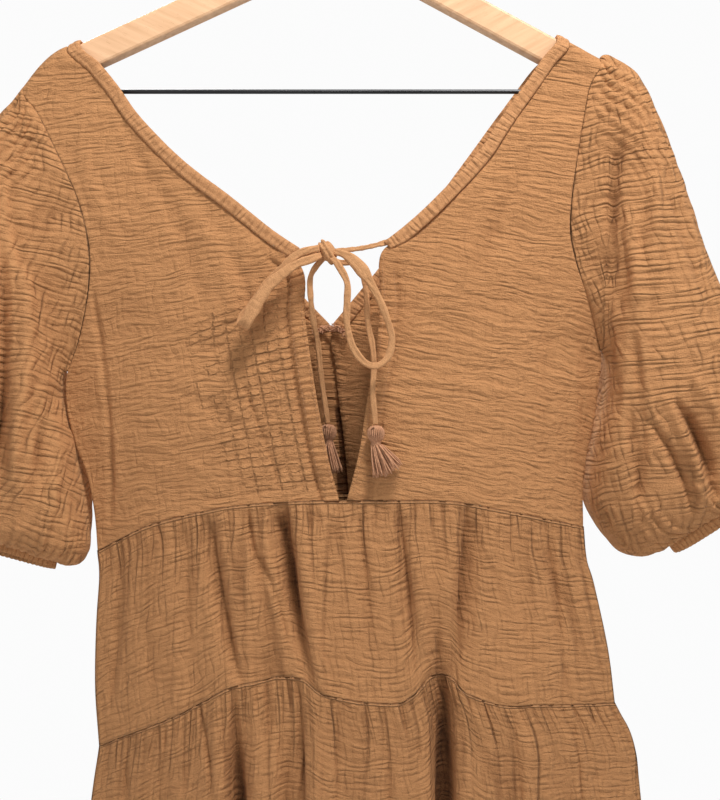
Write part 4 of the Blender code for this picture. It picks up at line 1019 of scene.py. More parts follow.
class Wardrobe:
    """Every finish of the garment and its hanger, as built materials."""

    def __init__(self) -> None:
        """Build the shared groups and the materials."""
        effects = Effects()
        self.bodice = GauzeFinish("gauze of the bodice").material(effects)
        self.sleeve = GauzeFinish("gauze of the sleeves", ripple=1.15, crease=1.15,
                                  streak=0.5).material(effects)
        self.tier = GauzeFinish("gauze of the tiers", ripple=0.75, crease=0.6, streak=0.5, pleat=1.0,
                                lip=1.0).material(effects)
        self.binding = GauzeFinish("gauze binding", (0.60, 0.295, 0.13), ripple=0.9,
                                   relief=0.7).material(effects)
        self.tie = GauzeFinish("gauze tie", (0.64, 0.33, 0.15), (0.34, 0.155, 0.065), ripple=0.5,
                               relief=0.5).material(effects)
        self.cuff = GauzeFinish("gauze cuff", ripple=0.6, crease=0.3, relief=0.5).material(effects)
        self.thread = YarnFinish("sewing thread", (0.56, 0.30, 0.15), (0.42, 0.21, 0.10)).material(effects)
        self.tassel = YarnFinish("tassel yarn", (0.71, 0.37, 0.205), (0.39, 0.18, 0.09)).material(effects)
        self.wood = {side: WoodFinish(f"beech {side.value}", ARM_SLOPE[side] * side.out).material(effects)
                     for side in Side}
        self.bar = MetalFinish("black bar", (0.03, 0.03, 0.032), (0.012, 0.012, 0.013), 0.42,
                               0.5).material(effects)
        self.wire = MetalFinish("plated wire", (0.78, 0.77, 0.75), (0.62, 0.61, 0.6), 0.2,
                                1.0).material(effects)


# Building and placing pieces

def add_mesh(name: str, vertices: Array, faces: list, material: Material) -> Piece:
    """Add a smooth mesh, given in millimetres, that rides on the part.

    Args:
        name: The piece's name.
        vertices: Its points.
        faces: Its faces, as point numbers.
        material: Its finish.

    Returns:
        The piece.
    """
    mesh = bpy.data.meshes.new(name)
    mesh.from_pydata((np.asarray(vertices) * MM).tolist(), [], faces)
    mesh.shade_smooth()
    piece = bpy.data.objects.new(name, mesh)
    bpy.context.scene.collection.objects.link(piece)
    mesh.materials.append(material)
    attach(piece, "root")
    return piece


def add_shell(name: str, grid: Array, normals: Array, thickness: Array | float, around: bool,
              material: Material, laid: tuple[Array, Array] | None = None,
              seam: Array | None = None) -> Piece:
    """Add a closed thin shell through a grid of mid points, with its cloth lengths as a map.

    Args:
        name: The piece's name.
        grid: Mid points.
        normals: Unit normals at the points.
        thickness: The wall, one number or one a point.
        around: Whether the rows are closed rings.
        material: Its finish.
        laid: Each point's place on the flat cloth, or None to take it along the grid.
        seam: Each point's distance from the nearest sewn seam, or None where there is none.

    Returns:
        The piece.
    """
    rows, columns = grid.shape[:2]
    half_wall = (np.broadcast_to(np.asarray(thickness, dtype=float), (rows, columns)) / 2)[..., None]
    lift = normals * half_wall
    vertices = np.vstack([(grid + lift).reshape(-1, 3), (grid - lift).reshape(-1, 3)])
    half = rows * columns
    spans = columns if around else columns - 1
    r, c = np.meshgrid(np.arange(rows - 1), np.arange(spans), indexing="ij")
    a, b = r * columns + c, r * columns + (c + 1) % columns
    outer = np.stack([a, b, b + columns, a + columns], axis=-1).reshape(-1, 4)
    faces = [outer, outer[:, ::-1] + half]
    c = np.arange(spans)
    for row, turn in ((0, False), (rows - 1, True)):
        a, b = row * columns + c, row * columns + (c + 1) % columns
        rim = np.stack([b, a, a + half, b + half], axis=-1)
        faces.append(rim[:, ::-1] if turn else rim)
    if not around:
        r = np.arange(rows - 1)
        for column, turn in ((0, False), (columns - 1, True)):
            a, d = r * columns + column, (r + 1) * columns + column
            rim = np.stack([a, d, d + half, a + half], axis=-1)
            faces.append(rim[:, ::-1] if turn else rim)
    faces = np.vstack(faces)
    piece = add_mesh(name, vertices, faces.tolist(), material)
    if laid is None:
        lay_map(piece.data, cloth_lengths(grid), half, columns, faces, around)
    else:
        lay_map(piece.data, laid, half, columns, faces, False)
    # The depth below the cloth around each point is stored for the material's painted shade in folds and
    # hollows.
    hollow_shade = hollow_depth(grid, normals, around).reshape(-1)
    mark_points(piece.data, "hollow_shade", np.r_[hollow_shade, -hollow_shade])
    reach = np.full(half, NO_SEAM) if seam is None else seam.reshape(-1)
    mark_points(piece.data, "seam", np.r_[reach, reach])
    face_out(piece.data)
    return piece


def hollow_depth(grid: Array, normals: Array, around: bool, reach: float = 17.0) -> Array:
    """Return how far each point lies below the cloth around it.

    Args:
        grid: The points.
        normals: Unit normals there.
        around: Whether the rows are closed rings.
        reach: How far around a point is looked at.

    Returns:
        The depth, negative where the point stands out.
    """
    level = grid
    for axis in (0, 1):
        step = np.linalg.norm(np.diff(grid, axis=axis), axis=2).mean()
        count = min(max(1, int(round(reach / step))), grid.shape[axis] // 2 - 1)
        pads = [(0, 0), (0, 0), (0, 0)]
        pads[axis] = (count, count)
        if around and axis == 1:
            padded = np.pad(level, pads, mode="wrap")
        else:
            padded = np.pad(level, pads, mode="reflect", reflect_type="odd")
        total = np.cumsum(padded, axis=axis)
        total = np.insert(total, 0, 0.0, axis=axis)
        high = np.take(total, np.arange(2 * count + 1, total.shape[axis]), axis=axis)
        low = np.take(total, np.arange(0, total.shape[axis] - 2 * count - 1), axis=axis)
        level = (high - low) / (2 * count + 1)
    return np.sum((level - grid) * normals, axis=2)


def mark_points(mesh: bpy.types.Mesh, name: str, values: Array) -> None:
    """Store a number for each point of a mesh."""
    layer = mesh.attributes.new(name, "FLOAT", "POINT")
    layer.data.foreach_set("value", values.astype(np.float32))


def add_painted_shade(mesh: bpy.types.Mesh, shade: Array) -> None:
    """Add painted shade, as extra stored depth, on a shell's inner face."""
    values = np.zeros(len(mesh.vertices), dtype=np.float32)
    mesh.attributes["hollow_shade"].data.foreach_get("value", values)
    values = values + np.r_[np.zeros(shade.size), shade.reshape(-1)]
    mesh.attributes["hollow_shade"].data.foreach_set("value", values.astype(np.float32))


def lay_map(mesh: bpy.types.Mesh, laid: tuple[Array, Array], half: int, columns: int,
            faces: Array, around: bool) -> None:
    """Give a shell a map of its cloth's lengths in metres.

    Args:
        mesh: The shell.
        laid: Each point's place on the flat cloth.
        half: How many points one side of it has.
        columns: How many points a row has.
        faces: The shell's faces.
        around: Whether its rows are closed rings.
    """
    u, v = laid
    points = faces.reshape(-1) % half
    across, down = u.reshape(-1)[points].copy(), v.reshape(-1)[points]
    if around:
        column = (points % columns).reshape(-1, 4)
        wraps = (column.max(axis=1) - column.min(axis=1) > 1)[:, None] & (column == 0)
        across[wraps.reshape(-1)] = 2 * u[0, -1] - u[0, -2]
    layer = mesh.uv_layers.new(name="cloth")
    layer.data.foreach_set("uv", (np.stack([across, down], axis=1) * MM).reshape(-1))


def lay_points(mesh: bpy.types.Mesh, place: Array) -> None:
    """Give a mesh a map from the place on the cloth of each of its points, in millimetres."""
    layer = mesh.uv_layers.new(name="cloth")
    corners = np.zeros(len(mesh.loops), dtype=int)
    mesh.loops.foreach_get("vertex_index", corners)
    layer.data.foreach_set("uv", (place[corners] * MM).reshape(-1))


def face_out(mesh: bpy.types.Mesh) -> None:
    """Turn a closed mesh's faces outward."""
    bm = bmesh.new()
    bm.from_mesh(mesh)
    bmesh.ops.recalc_face_normals(bm, faces=bm.faces)
    bm.to_mesh(mesh)
    bm.free()


def frames_along(path: Array, flat_to: Array) -> tuple[Array, Array]:
    """Return unit vectors across a path: one along the band's width, one out of its face."""
    along = unit(np.gradient(path, axis=0))
    wide = unit(np.cross(along, flat_to))
    return wide, np.cross(wide, along)


def folded_frames(path: Array) -> tuple[Array, Array]:
    """Return the same two unit vectors for a band that folds flat back on itself at its middle."""
    along = unit(np.gradient(path, axis=0))
    away = along.copy()
    away[len(path) // 2:] *= -1.0
    kernel = np.ones(21) / 21
    padded = np.pad(away, ((10, 10), (0, 0)), mode="edge")
    level = np.stack([np.convolve(padded[:, k], kernel, "valid") for k in range(3)], axis=1)
    wide = np.stack([-level[:, 2], np.zeros(len(path)), level[:, 0]], axis=1)
    wide = unit(wide - along * np.sum(wide * along, axis=1, keepdims=True))
    return wide, np.cross(wide, along)


def add_band(name: str, path: Array, width: Array, thick: float, material: Material,
             flat_to: Array, sides: int = 18, pucker: float = 0.0, folded: bool = False) -> Piece:
    """Add a flat sewn tube along a path.

    Args:
        name: The piece's name.
        path: Its centre line.
        width: The band's width at each point of the path.
        thick: How thick it is in the middle.
        material: Its finish.
        flat_to: The way that its face looks at each point.
        sides: How many points go round it.
        pucker: Height of its small ripples.
        folded: Whether the band folds back on itself flat.

    Returns:
        The piece.
    """
    wide, out = folded_frames(path) if folded else frames_along(path, flat_to)
    turn = 2 * math.pi * np.arange(sides) / sides
    steps = travelled(path)
    ripple = 1.0 + pucker * np.sin(steps * 1.35 + np.sin(steps * 0.43) * 1.8)
    across = np.sign(np.cos(turn)) * np.abs(np.cos(turn)) ** 0.75
    height = np.sin(turn) * (1.0 - 0.35 * np.abs(np.cos(turn)) ** 6 - 0.42 * np.exp(-(across / 0.42) ** 2))
    grid = (path[:, None] + wide[:, None] * (across[None, :, None] * width[:, None, None] / 2)
            + out[:, None] * (height[None, :, None] * (thick * ripple)[:, None, None] / 2))
    rows = len(path)
    vertices = np.vstack([grid.reshape(-1, 3), path[:1], path[-1:]])
    r, c = np.meshgrid(np.arange(rows - 1), np.arange(sides), indexing="ij")
    a, b = r * sides + c, r * sides + (c + 1) % sides
    faces = np.stack([a, b, b + sides, a + sides], axis=-1).reshape(-1, 4).tolist()
    first, last = rows * sides, rows * sides + 1
    for k in range(sides):
        j = (k + 1) % sides
        faces.append([first, j, k])
        faces.append([last, (rows - 1) * sides + k, (rows - 1) * sides + j])
    piece = add_mesh(name, vertices, faces, material)
    place = np.zeros((len(vertices), 2))
    place[:rows * sides, 0] = np.repeat(steps, sides)
    place[:rows * sides, 1] = np.tile((1.0 + across) * 2.6, rows)
    place[last, 0] = steps[-1]
    lay_points(piece.data, place)
    mark_points(piece.data, "seam", np.full(len(vertices), NO_SEAM))
    face_out(piece.data)
    return piece


def add_threads(name: str, runs: list[Array], radius: float, sides: int,
                material: Material) -> Piece:
    """Add many fine round threads as one piece.

    Args:
        name: The piece's name.
        runs: The points of each thread.
        radius: Half a thread's thickness.
        sides: How many points go round a thread.
        material: Its finish.

    Returns:
        The piece.
    """
    vertices, faces = [], []
    turn = 2 * math.pi * np.arange(sides) / sides
    for run in runs:
        along = unit(np.gradient(run, axis=0))
        one = unit(np.cross(along, ANY_WAY))
        two = np.cross(along, one)
        thin = np.full(len(run), radius)
        thin[(0, -1),] *= 0.55
        ring = (run[:, None] + one[:, None] * (np.cos(turn)[None, :, None] * thin[:, None, None])
                + two[:, None] * (np.sin(turn)[None, :, None] * thin[:, None, None]))
        start = sum(len(v) for v in vertices)
        vertices.append(ring.reshape(-1, 3))
        for r in range(len(run) - 1):
            for k in range(sides):
                j = (k + 1) % sides
                a = start + r * sides
                faces.append((a + k, a + j, a + sides + j, a + sides + k))
        faces.append(tuple(start + k for k in reversed(range(sides))))
        faces.append(tuple(start + (len(run) - 1) * sides + k for k in range(sides)))
    piece = add_mesh(name, np.vstack(vertices), faces, material)
    face_out(piece.data)
    return piece


def stitch_runs(line: Array, out: Array, length: float = 2.1, pitch: float = 3.0) -> list[Array]:
    """Return the short threads of a row of stitches along a line on the cloth.

    Args:
        line: Points on the cloth's face.
        out: Unit normals there.
        length: Length of a stitch.
        pitch: From one stitch's start to the next one's.

    Returns:
        The points of each stitch.
    """
    count = max(2, int(line_length(line) / pitch))
    places = travelled(line)
    runs = []
    for k in range(count):
        wanted = (k + 0.2) * pitch + np.linspace(0.0, length, 4)
        point = np.stack([np.interp(wanted, places, line[:, j]) for j in range(3)], axis=1)
        lift = np.stack([np.interp(wanted, places, out[:, j]) for j in range(3)], axis=1)
        runs.append(point + lift * np.array([-0.15, 0.16, 0.16, -0.15])[:, None])
    return runs


# Places that the pieces share

def seam_line(halves: tuple[Table, Table], count: int) -> Array:
    """Return the points of a seam that runs across the garment, count stretches to a half."""
    left, right = (smooth_line(rows, count + 1) for rows in halves)
    return np.vstack([left, right[1:]])


def bodice_depth(share: float, x: Array, outer_x: float) -> Array:
    """Return how far a bodice row lies from the middle plane."""
    table = np.array(BODICE_DEPTH)
    centre = np.interp(share, table[:, 0], table[:, 1])
    outer = np.interp(share, table[:, 0], table[:, 2])
    reach = held(np.abs((x - MIDDLE_X) / (outer_x - MIDDLE_X)))
    return outer + (centre - outer) * (1.0 - reach ** DEPTH_POWER)


@dataclass
class Neckline:
    """One side of the neck and the opening below it, on the tie side or the far side."""

    layer: Layer
    side: Side
    neck_rows: int = 10
    opening_rows: int = 5

    def edges(self) -> tuple[Array, Array]:
        """Return the neck's outer edge and the panel's edge beside the binding."""
        outline = NECK_OUTLINE if self.layer is Layer.FRONT else FAR_NECK_OUTLINE
        edge = smooth_line(outline[self.side], self.neck_rows + 1)
        panel = offset_line(edge, BINDING_WIDTH + BINDING_STEP, self.side)
        slope = ARM_SLOPE[self.side]
        along_arm = np.array([self.side.out, -slope]) / math.hypot(1.0, slope)
        panel[0] = edge[0] + along_arm * (BINDING_WIDTH + BINDING_STEP) * SHOULDER_SKEW
        return edge, panel

    def opening(self) -> Array:
        """Return the panel's edge down the keyhole or the slit."""
        outline = KEYHOLE_OUTLINE if self.layer is Layer.FRONT else FAR_SLIT_OUTLINE
        fine = smooth_line(outline[self.side], 101)
        start = int(round(100 * CORNER_DROP[self.layer, self.side] / line_length(fine)))
        return resample(fine[start:], self.opening_rows + 1)

    def shares(self) -> Array:
        """Return each row's share of the way from shoulder to waist."""
        neck = np.linspace(0.0, UNDERARM_SHARE, self.neck_rows + 1)
        return np.r_[neck, np.linspace(UNDERARM_SHARE, 1.0, self.opening_rows + 1)[1:]]

    def with_roll(self, grid: Array) -> Array:
        """Add the rows that go up and over the hanger's arm."""
        rolled = []
        for depth_share, drop_share in ((0.0, 0.0), (0.75, 0.08)):
            row = grid[0].copy()
            row[:, 1] = self.layer.sign * max(HALF_SEAM, SHOULDER_DEPTH * depth_share)
            row[:, 2] += ROLL_DROP * (1.0 - drop_share)
            rolled.append(row)
        return np.concatenate([np.array(rolled), grid], axis=0)


@dataclass
class BodicePanel:
    """One of the four panels of the bodice, from shoulder to waist."""

    layer: Layer
    side: Side
    step: float = 1.9
    check_step: float = 1.35
    columns: int = 8
    waist_gap: float = -0.4
    coarse: Array = field(init=False)

    def __post_init__(self) -> None:
        """Lay out the panel's form."""
        neckline = Neckline(self.layer, self.side)
        inner = np.vstack([neckline.edges()[1][:-1], neckline.opening()])
        armhole = smooth_line(ARMHOLE_OUTLINE[self.side], neckline.neck_rows + 1)
        outer = np.vstack([armhole[:-1], smooth_line(SIDE_OUTLINE[self.side], neckline.opening_rows + 1)])
        shoulder = smooth_line((tuple(inner[0]),) + SHOULDER_TIP[self.side], self.columns + 1)
        waist = seam_line(WAIST_HALVES, 24)
        half = waist[24::-3] if self.side is Side.LEFT else waist[24::3]
        half = half.copy()
        half[0] = inner[-1]
        flat = fill_patch(shoulder, half, inner, outer, np.linspace(0.0, 1.0, len(inner)))
        grid = upright(flat)
        grid[-1, :, 2] += self.waist_gap
        for r, share in enumerate(neckline.shares()):
            grid[r, :, 1] = self.layer.sign * bodice_depth(share, grid[r, :, 0], grid[r, -1, 0])
        grid[0, :, 2] -= ROLL_DROP
        self.coarse = neckline.with_roll(grid)

    @property
    def name(self) -> str:
        """Return the panel's name."""
        return f"bodice_{self.layer.value}_{self.side.value}"

    def fine(self) -> tuple[Array, Array]:
        """Return the panel's fine grid with its creases and crinkle, and its normals."""
        checked = self.layer is Layer.FRONT and self.side is Side.LEFT
        grid = refine(self.coarse, self.check_step if checked else self.step)
        facing = np.array([0.0, self.layer.sign, 0.0])
        normals = grid_normals(grid, False, facing)
        u, v = cloth_lengths(grid)
        seed = 11 + 7 * (self.layer is Layer.BACK) + 3 * (self.side is Side.RIGHT)
        edge = np.minimum(np.minimum(u / 9.0, (u.max() - u) / 9.0), np.minimum(v / 14.0, (v.max() - v) / 8.0))
        free = held(edge)
        height = crease_field(grid[..., 0], grid[..., 2], BODICE_CREASES[self.layer, self.side])
        a, b = front_map(grid, THREAD_ANGLE["bodice"][self.side])
        height += 1.1 * lattice(a, b, 38.0, 26.0, seed) + 0.3 * lattice(a, b, 18.0, 8.0, seed + 1)
        pucker = 0.14 * lattice(a, b, 14.0, 5.0, seed + 2) + 0.08 * lattice(a, b, 6.0, 12.0, seed + 3)
        gather = GatherRow(int(u.max() / 7.0), 0.3, (9.0, 26.0), seed + 4)
        pucker += gather.height(u, v.max() - v) * held((v.max() - v) / 3.0)
        height = height * free + pucker * np.clip(edge * 2.0, 0.15, 1.0)
        height += self.turned_edge(u, v, seed) - 0.75 * dip(self.check_lines(u, v) / 2.1)
        if self.layer is Layer.BACK and self.side is Side.LEFT:
            height += 3.2 * held((10.0 - u) / 6.0) * held((v - v.max() * 0.52) / 14.0)
        height -= 0.5 * SEAM_DIP * dip((v.max() - v) / 3.2) + SEAM_DIP * dip((u.max() - u) / 3.0)
        height -= (1.5 if self.side is Side.RIGHT else 0.7) * dip(u / 4.0) * (v < v.max() * UNDERARM_SHARE)
        grid = grid + normals * height[..., None]
        least = np.where(np.abs(grid[..., 1]) < 0.16, HALF_SEAM, 0.75)
        grid[..., 1] = self.layer.sign * np.maximum(np.abs(grid[..., 1]), least)
        normals = grid_normals(grid, False, facing)
        normals[0] = (0.0, 0.0, 1.0)
        return grid, normals

    def turned_edge(self, u: Array, v: Array, seed: int) -> Array:
        """Return the height of the turned edge strip beside the keyhole or the slit."""
        length = v.max()
        below = held((v - length * UNDERARM_SHARE) / 8.0)
        wide = 8.0 + 0.7 * lattice(u, v, 30.0, 22.0, seed + 5)
        strip = held((wide - u) / 1.6)
        rib = 0.8 * np.sin(v * 2 * math.pi / 4.6 + 1.6 * lattice(u, v, 30.0, 17.0, seed + 6))
        groove = -1.7 * dip((u - wide - 0.8) / 2.4)
        return below * (strip * (1.1 + rib) + groove)

    def check_lines(self, u: Array, v: Array) -> Array:
        """Return the distance to the drawn-up check beside the left keyhole edge.

        Args:
            u: Length across the panel from the keyhole edge.
            v: Length down the panel.

        Returns:
            The distance in millimetres, 50 where the cloth has no check.
        """
        distance = np.full(u.shape, NO_SEAM)
        if self.layer is Layer.FRONT and self.side is Side.LEFT:
            first, second = 6.4, 6.9
            along = (u - 9.0 + 1.0 * lattice(u, v, 40.0, 46.0, 61)) / first
            across = (v + 1.6 * lattice(u, v, 34.0, 30.0, 62)) / second
            to_line = np.abs(along - np.round(along)) * first
            away = np.minimum(to_line, np.abs(across - np.round(across)) * second)
            patchy = 0.9 * lattice(u, v, 13.0, 11.0, 63)
            away += np.clip(patchy + (u - 46.0) / 16.0, 0.0, 9.0)
            away += (np.clip((v.max() * 0.66 - v) / 22.0, 0.0, 9.0)
                     + np.clip((9.0 - (v.max() - v)) / 4.0, 0.0, 9.0))
            distance = np.where(u > 7.0, away, distance)
        return distance

    def painted_gap_shade(self, grid: Array) -> Array:
        """Return how much painted shade each point of the far left panel takes in the gap between the edges.
        """
        depth = np.zeros(grid.shape[:2])
        if self.layer is Layer.BACK and self.side is Side.LEFT:
            table = np.array(PAINTED_GAP_SHADE)[::-1]
            right = np.interp(grid[..., 2], table[:, 0], table[:, 1])
            wide = np.interp(grid[..., 2], table[:, 0], table[:, 2], left=0.0, right=0.0)
            depth = 26.0 * held((grid[..., 0] - right + wide) / 0.8) * (wide > 0.0)
        return depth

    def build(self, wardrobe: Wardrobe) -> Piece:
        """Build the panel."""
        grid, normals = self.fine()
        laid = front_map(grid, THREAD_ANGLE["bodice"][self.side])
        u, v = cloth_lengths(grid)
        seam = np.minimum(v.max() - v, np.where(v < v.max() * UNDERARM_SHARE * 1.02, u.max() - u, NO_SEAM))
        # The check lines take the seam's groove, with its painted shade.
        seam = np.minimum(seam, 0.18 + 0.55 * self.check_lines(u, v))
        piece = add_shell(f"{self.name}_cloth", grid, normals, WALL, False, wardrobe.bodice, laid, seam)
        # Painted shade darkens the far left panel's inner face in the gap between the far side's edges.
        shade = self.painted_gap_shade(grid)
        if shade.any():
            add_painted_shade(piece.data, shade)
        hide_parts(self.name)
        self.sew(grid, normals, wardrobe)
        return piece

    def sew(self, grid: Array, normals: Array, wardrobe: Wardrobe) -> None:
        """Add the stitches beside the neck binding and the opening's turned edge."""
        u = cloth_lengths(grid)[0]
        runs = []
        for distance, start, end in BODICE_STITCHES:
            column = int(np.argmin(np.abs(u[0] - distance)))
            rows = slice(int(start * len(grid)), int(end * len(grid)))
            line = grid[rows, column] + normals[rows, column] * WALL / 2
            runs += stitch_runs(line, normals[rows, column])
        piece = add_threads(f"{self.name}_stitches", runs, 0.2, 5, wardrobe.thread)


@dataclass
class GatherRow:
    """A row of uneven gathers below a seam."""

    count: int
    rise: float
    reach: tuple[float, float]
    seed: int

    def height(self, u: Array, below: Array) -> Array:
        """Return the height of the gathers.

        Args:
            u: Length along the seam at each point.
            below: Distance from the seam.

        Returns:
            The height, with rounded ridges and narrow troughs.
        """
        rng = np.random.default_rng(self.seed)
        gaps = rng.uniform(0.6, 1.4, self.count)
        places = np.cumsum(gaps) / gaps.sum() * float(u.max())
        rises = rng.uniform(0.45, 1.25, self.count) * self.rise
        reaches = rng.uniform(*self.reach, self.count) * rng.choice((0.55, 1.0, 1.35), self.count)
        order = np.arange(self.count)
        drift = 0.16 * np.sin(below * 0.11 + u * 0.05) * held(below / 18.0)
        phase = np.interp(u, places, order) + drift
        wave = 2.0 * np.abs(np.sin(math.pi * phase)) ** 0.8 - 1.0
        tall = np.interp(u, places, rises)
        reach = np.interp(u, places, reaches)
        fade = held(1.0 - below / reach) ** 0.8
        return wave * tall * fade * (0.35 + 0.65 * held(below / 5.0))


@dataclass
class TierPanel:
    """The tie side or the far side of one gathered tier."""

    tier: str
    layer: Layer
    step: float = 2.0
    low_step: float = 2.0
    low_from: float = 1.0
    columns: int = 24

    @property
    def name(self) -> str:
        """Return the panel's name."""
        return f"{self.tier}_{self.layer.value}"

    def coarse(self) -> Array:
        """Return the panel's form with its folds and without its gathers."""
        rows = np.array([0.0, 0.03, 0.07, 0.13, 0.2, 0.28, 0.4, 0.5, 0.6, 0.7, 0.8, 0.9, 1.0])
        seams = {"tier1": (WAIST_HALVES, TIER_SEAM_HALVES), "tier2": (TIER_SEAM_HALVES, HEM_HALVES)}
        top, bottom = (seam_line(halves, self.columns * 2) for halves in seams[self.tier])
        left, right = (at_shares(edge, rows) for edge in TIER_EDGES[self.tier])
        flat = fill_patch(top, bottom, left, right, rows)
        grid = upright(flat)
        for r, share in enumerate(rows):
            grid[r, :, 1] = self.layer.sign * self.depth(grid[r, :, 0], share)
        grid[0, :, 2] -= WAIST_GAP
        if self.tier == "tier1":
            grid[-1, :, 2] += WAIST_GAP
        return grid

    def depth(self, x: Array, share: float) -> Array:
        """Return how far a row lies from the middle plane, its folds included."""
        depths = {"tier1": (WAIST_DEPTH, TIER_SEAM_DEPTH), "tier2": (TIER_SEAM_DEPTH, HEM_DEPTH)}
        first, last = depths[self.tier]
        middle, half = (x[0] + x[-1]) / 2, (x[-1] - x[0]) / 2
        side = np.abs((x - middle) / half)
        base = (first + (last - first) * share) * (1.0 - side ** DEPTH_POWER)
        own, seam = np.zeros_like(x), np.zeros_like(x)
        for top_x, low_x, width, top_depth, low_depth in TIER_FOLDS[self.tier, self.layer]:
            centre = top_x + (low_x - top_x) * share
            own += (top_depth + (low_depth - top_depth) * share) * dip((x - centre) / width)
        for centre, width, depth in SEAM_FOLDS[self.layer]:
            seam += depth * dip((x - centre) / width)
        if self.tier == "tier1":
            mix = held((share - 0.5) / 0.5)
            own *= min(1.0, share / 0.13)
        else:
            mix = held(1.0 - share / 0.24)
        folds = (own * (1.0 - mix) + seam * mix) * (1.0 - side ** 6)
        return np.maximum(HALF_SEAM, np.maximum(base - folds, np.minimum(base, LEAST_DEPTH)))

    def fine(self) -> tuple[Array, Array]:
        """Return the panel's fine grid with gathers, creases and crinkle, and its normals."""
        grid = refine(self.coarse(), self.step, low_step=self.low_step, low_from=self.low_from)
        facing = np.array([0.0, self.layer.sign, 0.0])
        normals = grid_normals(grid, False, facing)
        u, v = cloth_lengths(grid)
        seed = 41 + 9 * (self.tier == "tier2") + 5 * (self.layer is Layer.BACK)
        count, rise, reach = {"tier1": (44, 1.0, (18.0, 50.0)), "tier2": (52, 1.2, (22.0, 70.0))}[self.tier]
        height = GatherRow(count, rise, reach, seed).height(u, v)
        height += GatherRow(count // 3, rise * 0.7, (reach[1], reach[1] * 2.4), seed + 1).height(u, v)
        height += crease_field(grid[..., 0], grid[..., 2], TIER_CREASES[self.tier, self.layer])
        height += 1.2 * lattice(u, v, 19.0, 150.0, seed + 2) * held(v / 30.0)
        height += 0.2 * lattice(u, v, 12.0, 5.5, seed + 3) + 0.1 * lattice(u, v, 5.2, 11.0, seed + 4)
        if self.tier == "tier1":
            low = v.max() - v
            pull = GatherRow(50, 0.7, (7.0, 22.0), seed + 5).height(u, low)
            height = height * np.clip(low / 5.0, 0.35, 1.0) + pull
        height -= 0.5 * SEAM_DIP * dip(v / 3.0)
        inside = held(np.minimum(u, u.max() - u) / 12.0)
        grid = grid + normals * (height * inside)[..., None]
        side_part = inside < 0.15
        grid[..., 1] = self.layer.sign * np.maximum(self.layer.sign * grid[..., 1],
                                                    np.where(side_part, HALF_SEAM, 0.8))
        normals = grid_normals(grid, False, facing)
        normals[:, 0], normals[:, -1] = (-1.0, 0.0, 0.0), (1.0, 0.0, 0.0)
        return grid, normals

    def build(self, wardrobe: Wardrobe) -> Piece:
        """Build the panel."""
        grid, normals = self.fine()
        v = cloth_lengths(grid)[1]
        seam = np.minimum(v, v.max() - v + 0.6) if self.tier == "tier1" else v.copy()
        wall = np.full(v.shape, WALL)
        if self.tier == "tier2":
            wall += HEM_WALL * held((v - v.max() + HEM_TURN) / 1.5)
        piece = add_shell(f"{self.name}_cloth", grid, normals, wall, False, wardrobe.tier, seam=seam)
        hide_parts(self.name)
        self.sew(grid, normals, v, wardrobe)
        return piece

    def sew(self, grid: Array, normals: Array, v: Array, wardrobe: Wardrobe) -> None:
        """Add the stitches along the seam above and, on the lower tier, along the hem."""
        down = v[:, 0]
        rows = [int(np.argmin(np.abs(down - SEAM_STITCHES)))]
        if self.tier == "tier2":
            rows.append(int(np.argmin(np.abs(down - (down[-1] - HEM_STITCHES)))))
        runs = []
        for row in rows:
            line = grid[row, 3:-3] + normals[row, 3:-3] * (WALL / 2)
            runs += stitch_runs(line, normals[row, 3:-3])
        piece = add_threads(f"{self.name}_stitches", runs, 0.2, 5, wardrobe.thread)


@dataclass
class Binding:
    """The flat folded binding that edges one side of the neck."""

    layer: Layer
    side: Side
    wall: float = 3.0
    step: float = 1.05

    @property
    def name(self) -> str:
        """Return the binding's name."""
        return f"neck_binding_{self.layer.value}_{self.side.value}"

    def build(self, wardrobe: Wardrobe) -> Piece:
        """Build the binding with its rolled edge, seam groove and small ripples."""
        neckline = Neckline(self.layer, self.side)
        sign = self.layer.sign
        edge, panel = neckline.edges()
        outer_x = smooth_line(ARMHOLE_OUTLINE[self.side], neckline.neck_rows + 1)[:, 0]
        across = np.linspace(0.0, 1.04, 4)[None, :, None]
        flat = edge[:, None] * (1 - across) + panel[:, None] * across
        grid = upright(flat)
        for r, share in enumerate(neckline.shares()[:neckline.neck_rows + 1]):
            grid[r, :, 1] = sign * bodice_depth(share, grid[r, :, 0], outer_x[r])
        grid[0, :, 2] -= ROLL_DROP
        grid[:, :, 1] += sign * BINDING_LIFT
        grid = neckline.with_roll(grid)
        grid[:2, :, 2] += BINDING_LIFT
        grid = refine(grid, self.step)
        facing = np.array([0.0, sign, 0.0])
        if self.layer is Layer.FRONT and self.side is Side.RIGHT:
            v = cloth_lengths(grid)[1]
            narrow = 0.68 + 0.32 * held((v.max() - v) / 12.0)
            grid = grid[:, :1] + (grid - grid[:, :1]) * narrow[..., None]
        normals = grid_normals(grid, False, facing)
        u, v = cloth_lengths(grid)
        seed = 71 + 3 * (self.layer is Layer.BACK) + (self.side is Side.RIGHT)
        height = 0.34 * lattice(u, v, 8.0, 3.0, seed) + 0.3 * lattice(u, v, 9.0, 19.0, seed + 1)
        grid = grid + normals * (height * held(v / 6.0))[..., None]
        share = u / u.max()
        wall = self.wall * (1.0 - 0.55 * np.abs(2 * share - 1.0) ** 3) - 1.0 * dip((share - 0.62) / 0.13)
        normals = grid_normals(grid, False, facing)
        normals[0] = (0.0, 0.0, 1.0)
        piece = add_shell(f"{self.name}_cloth", grid, normals, wall, False, wardrobe.binding)
        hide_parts(self.name)
        return piece


# Sleeves and cuffs

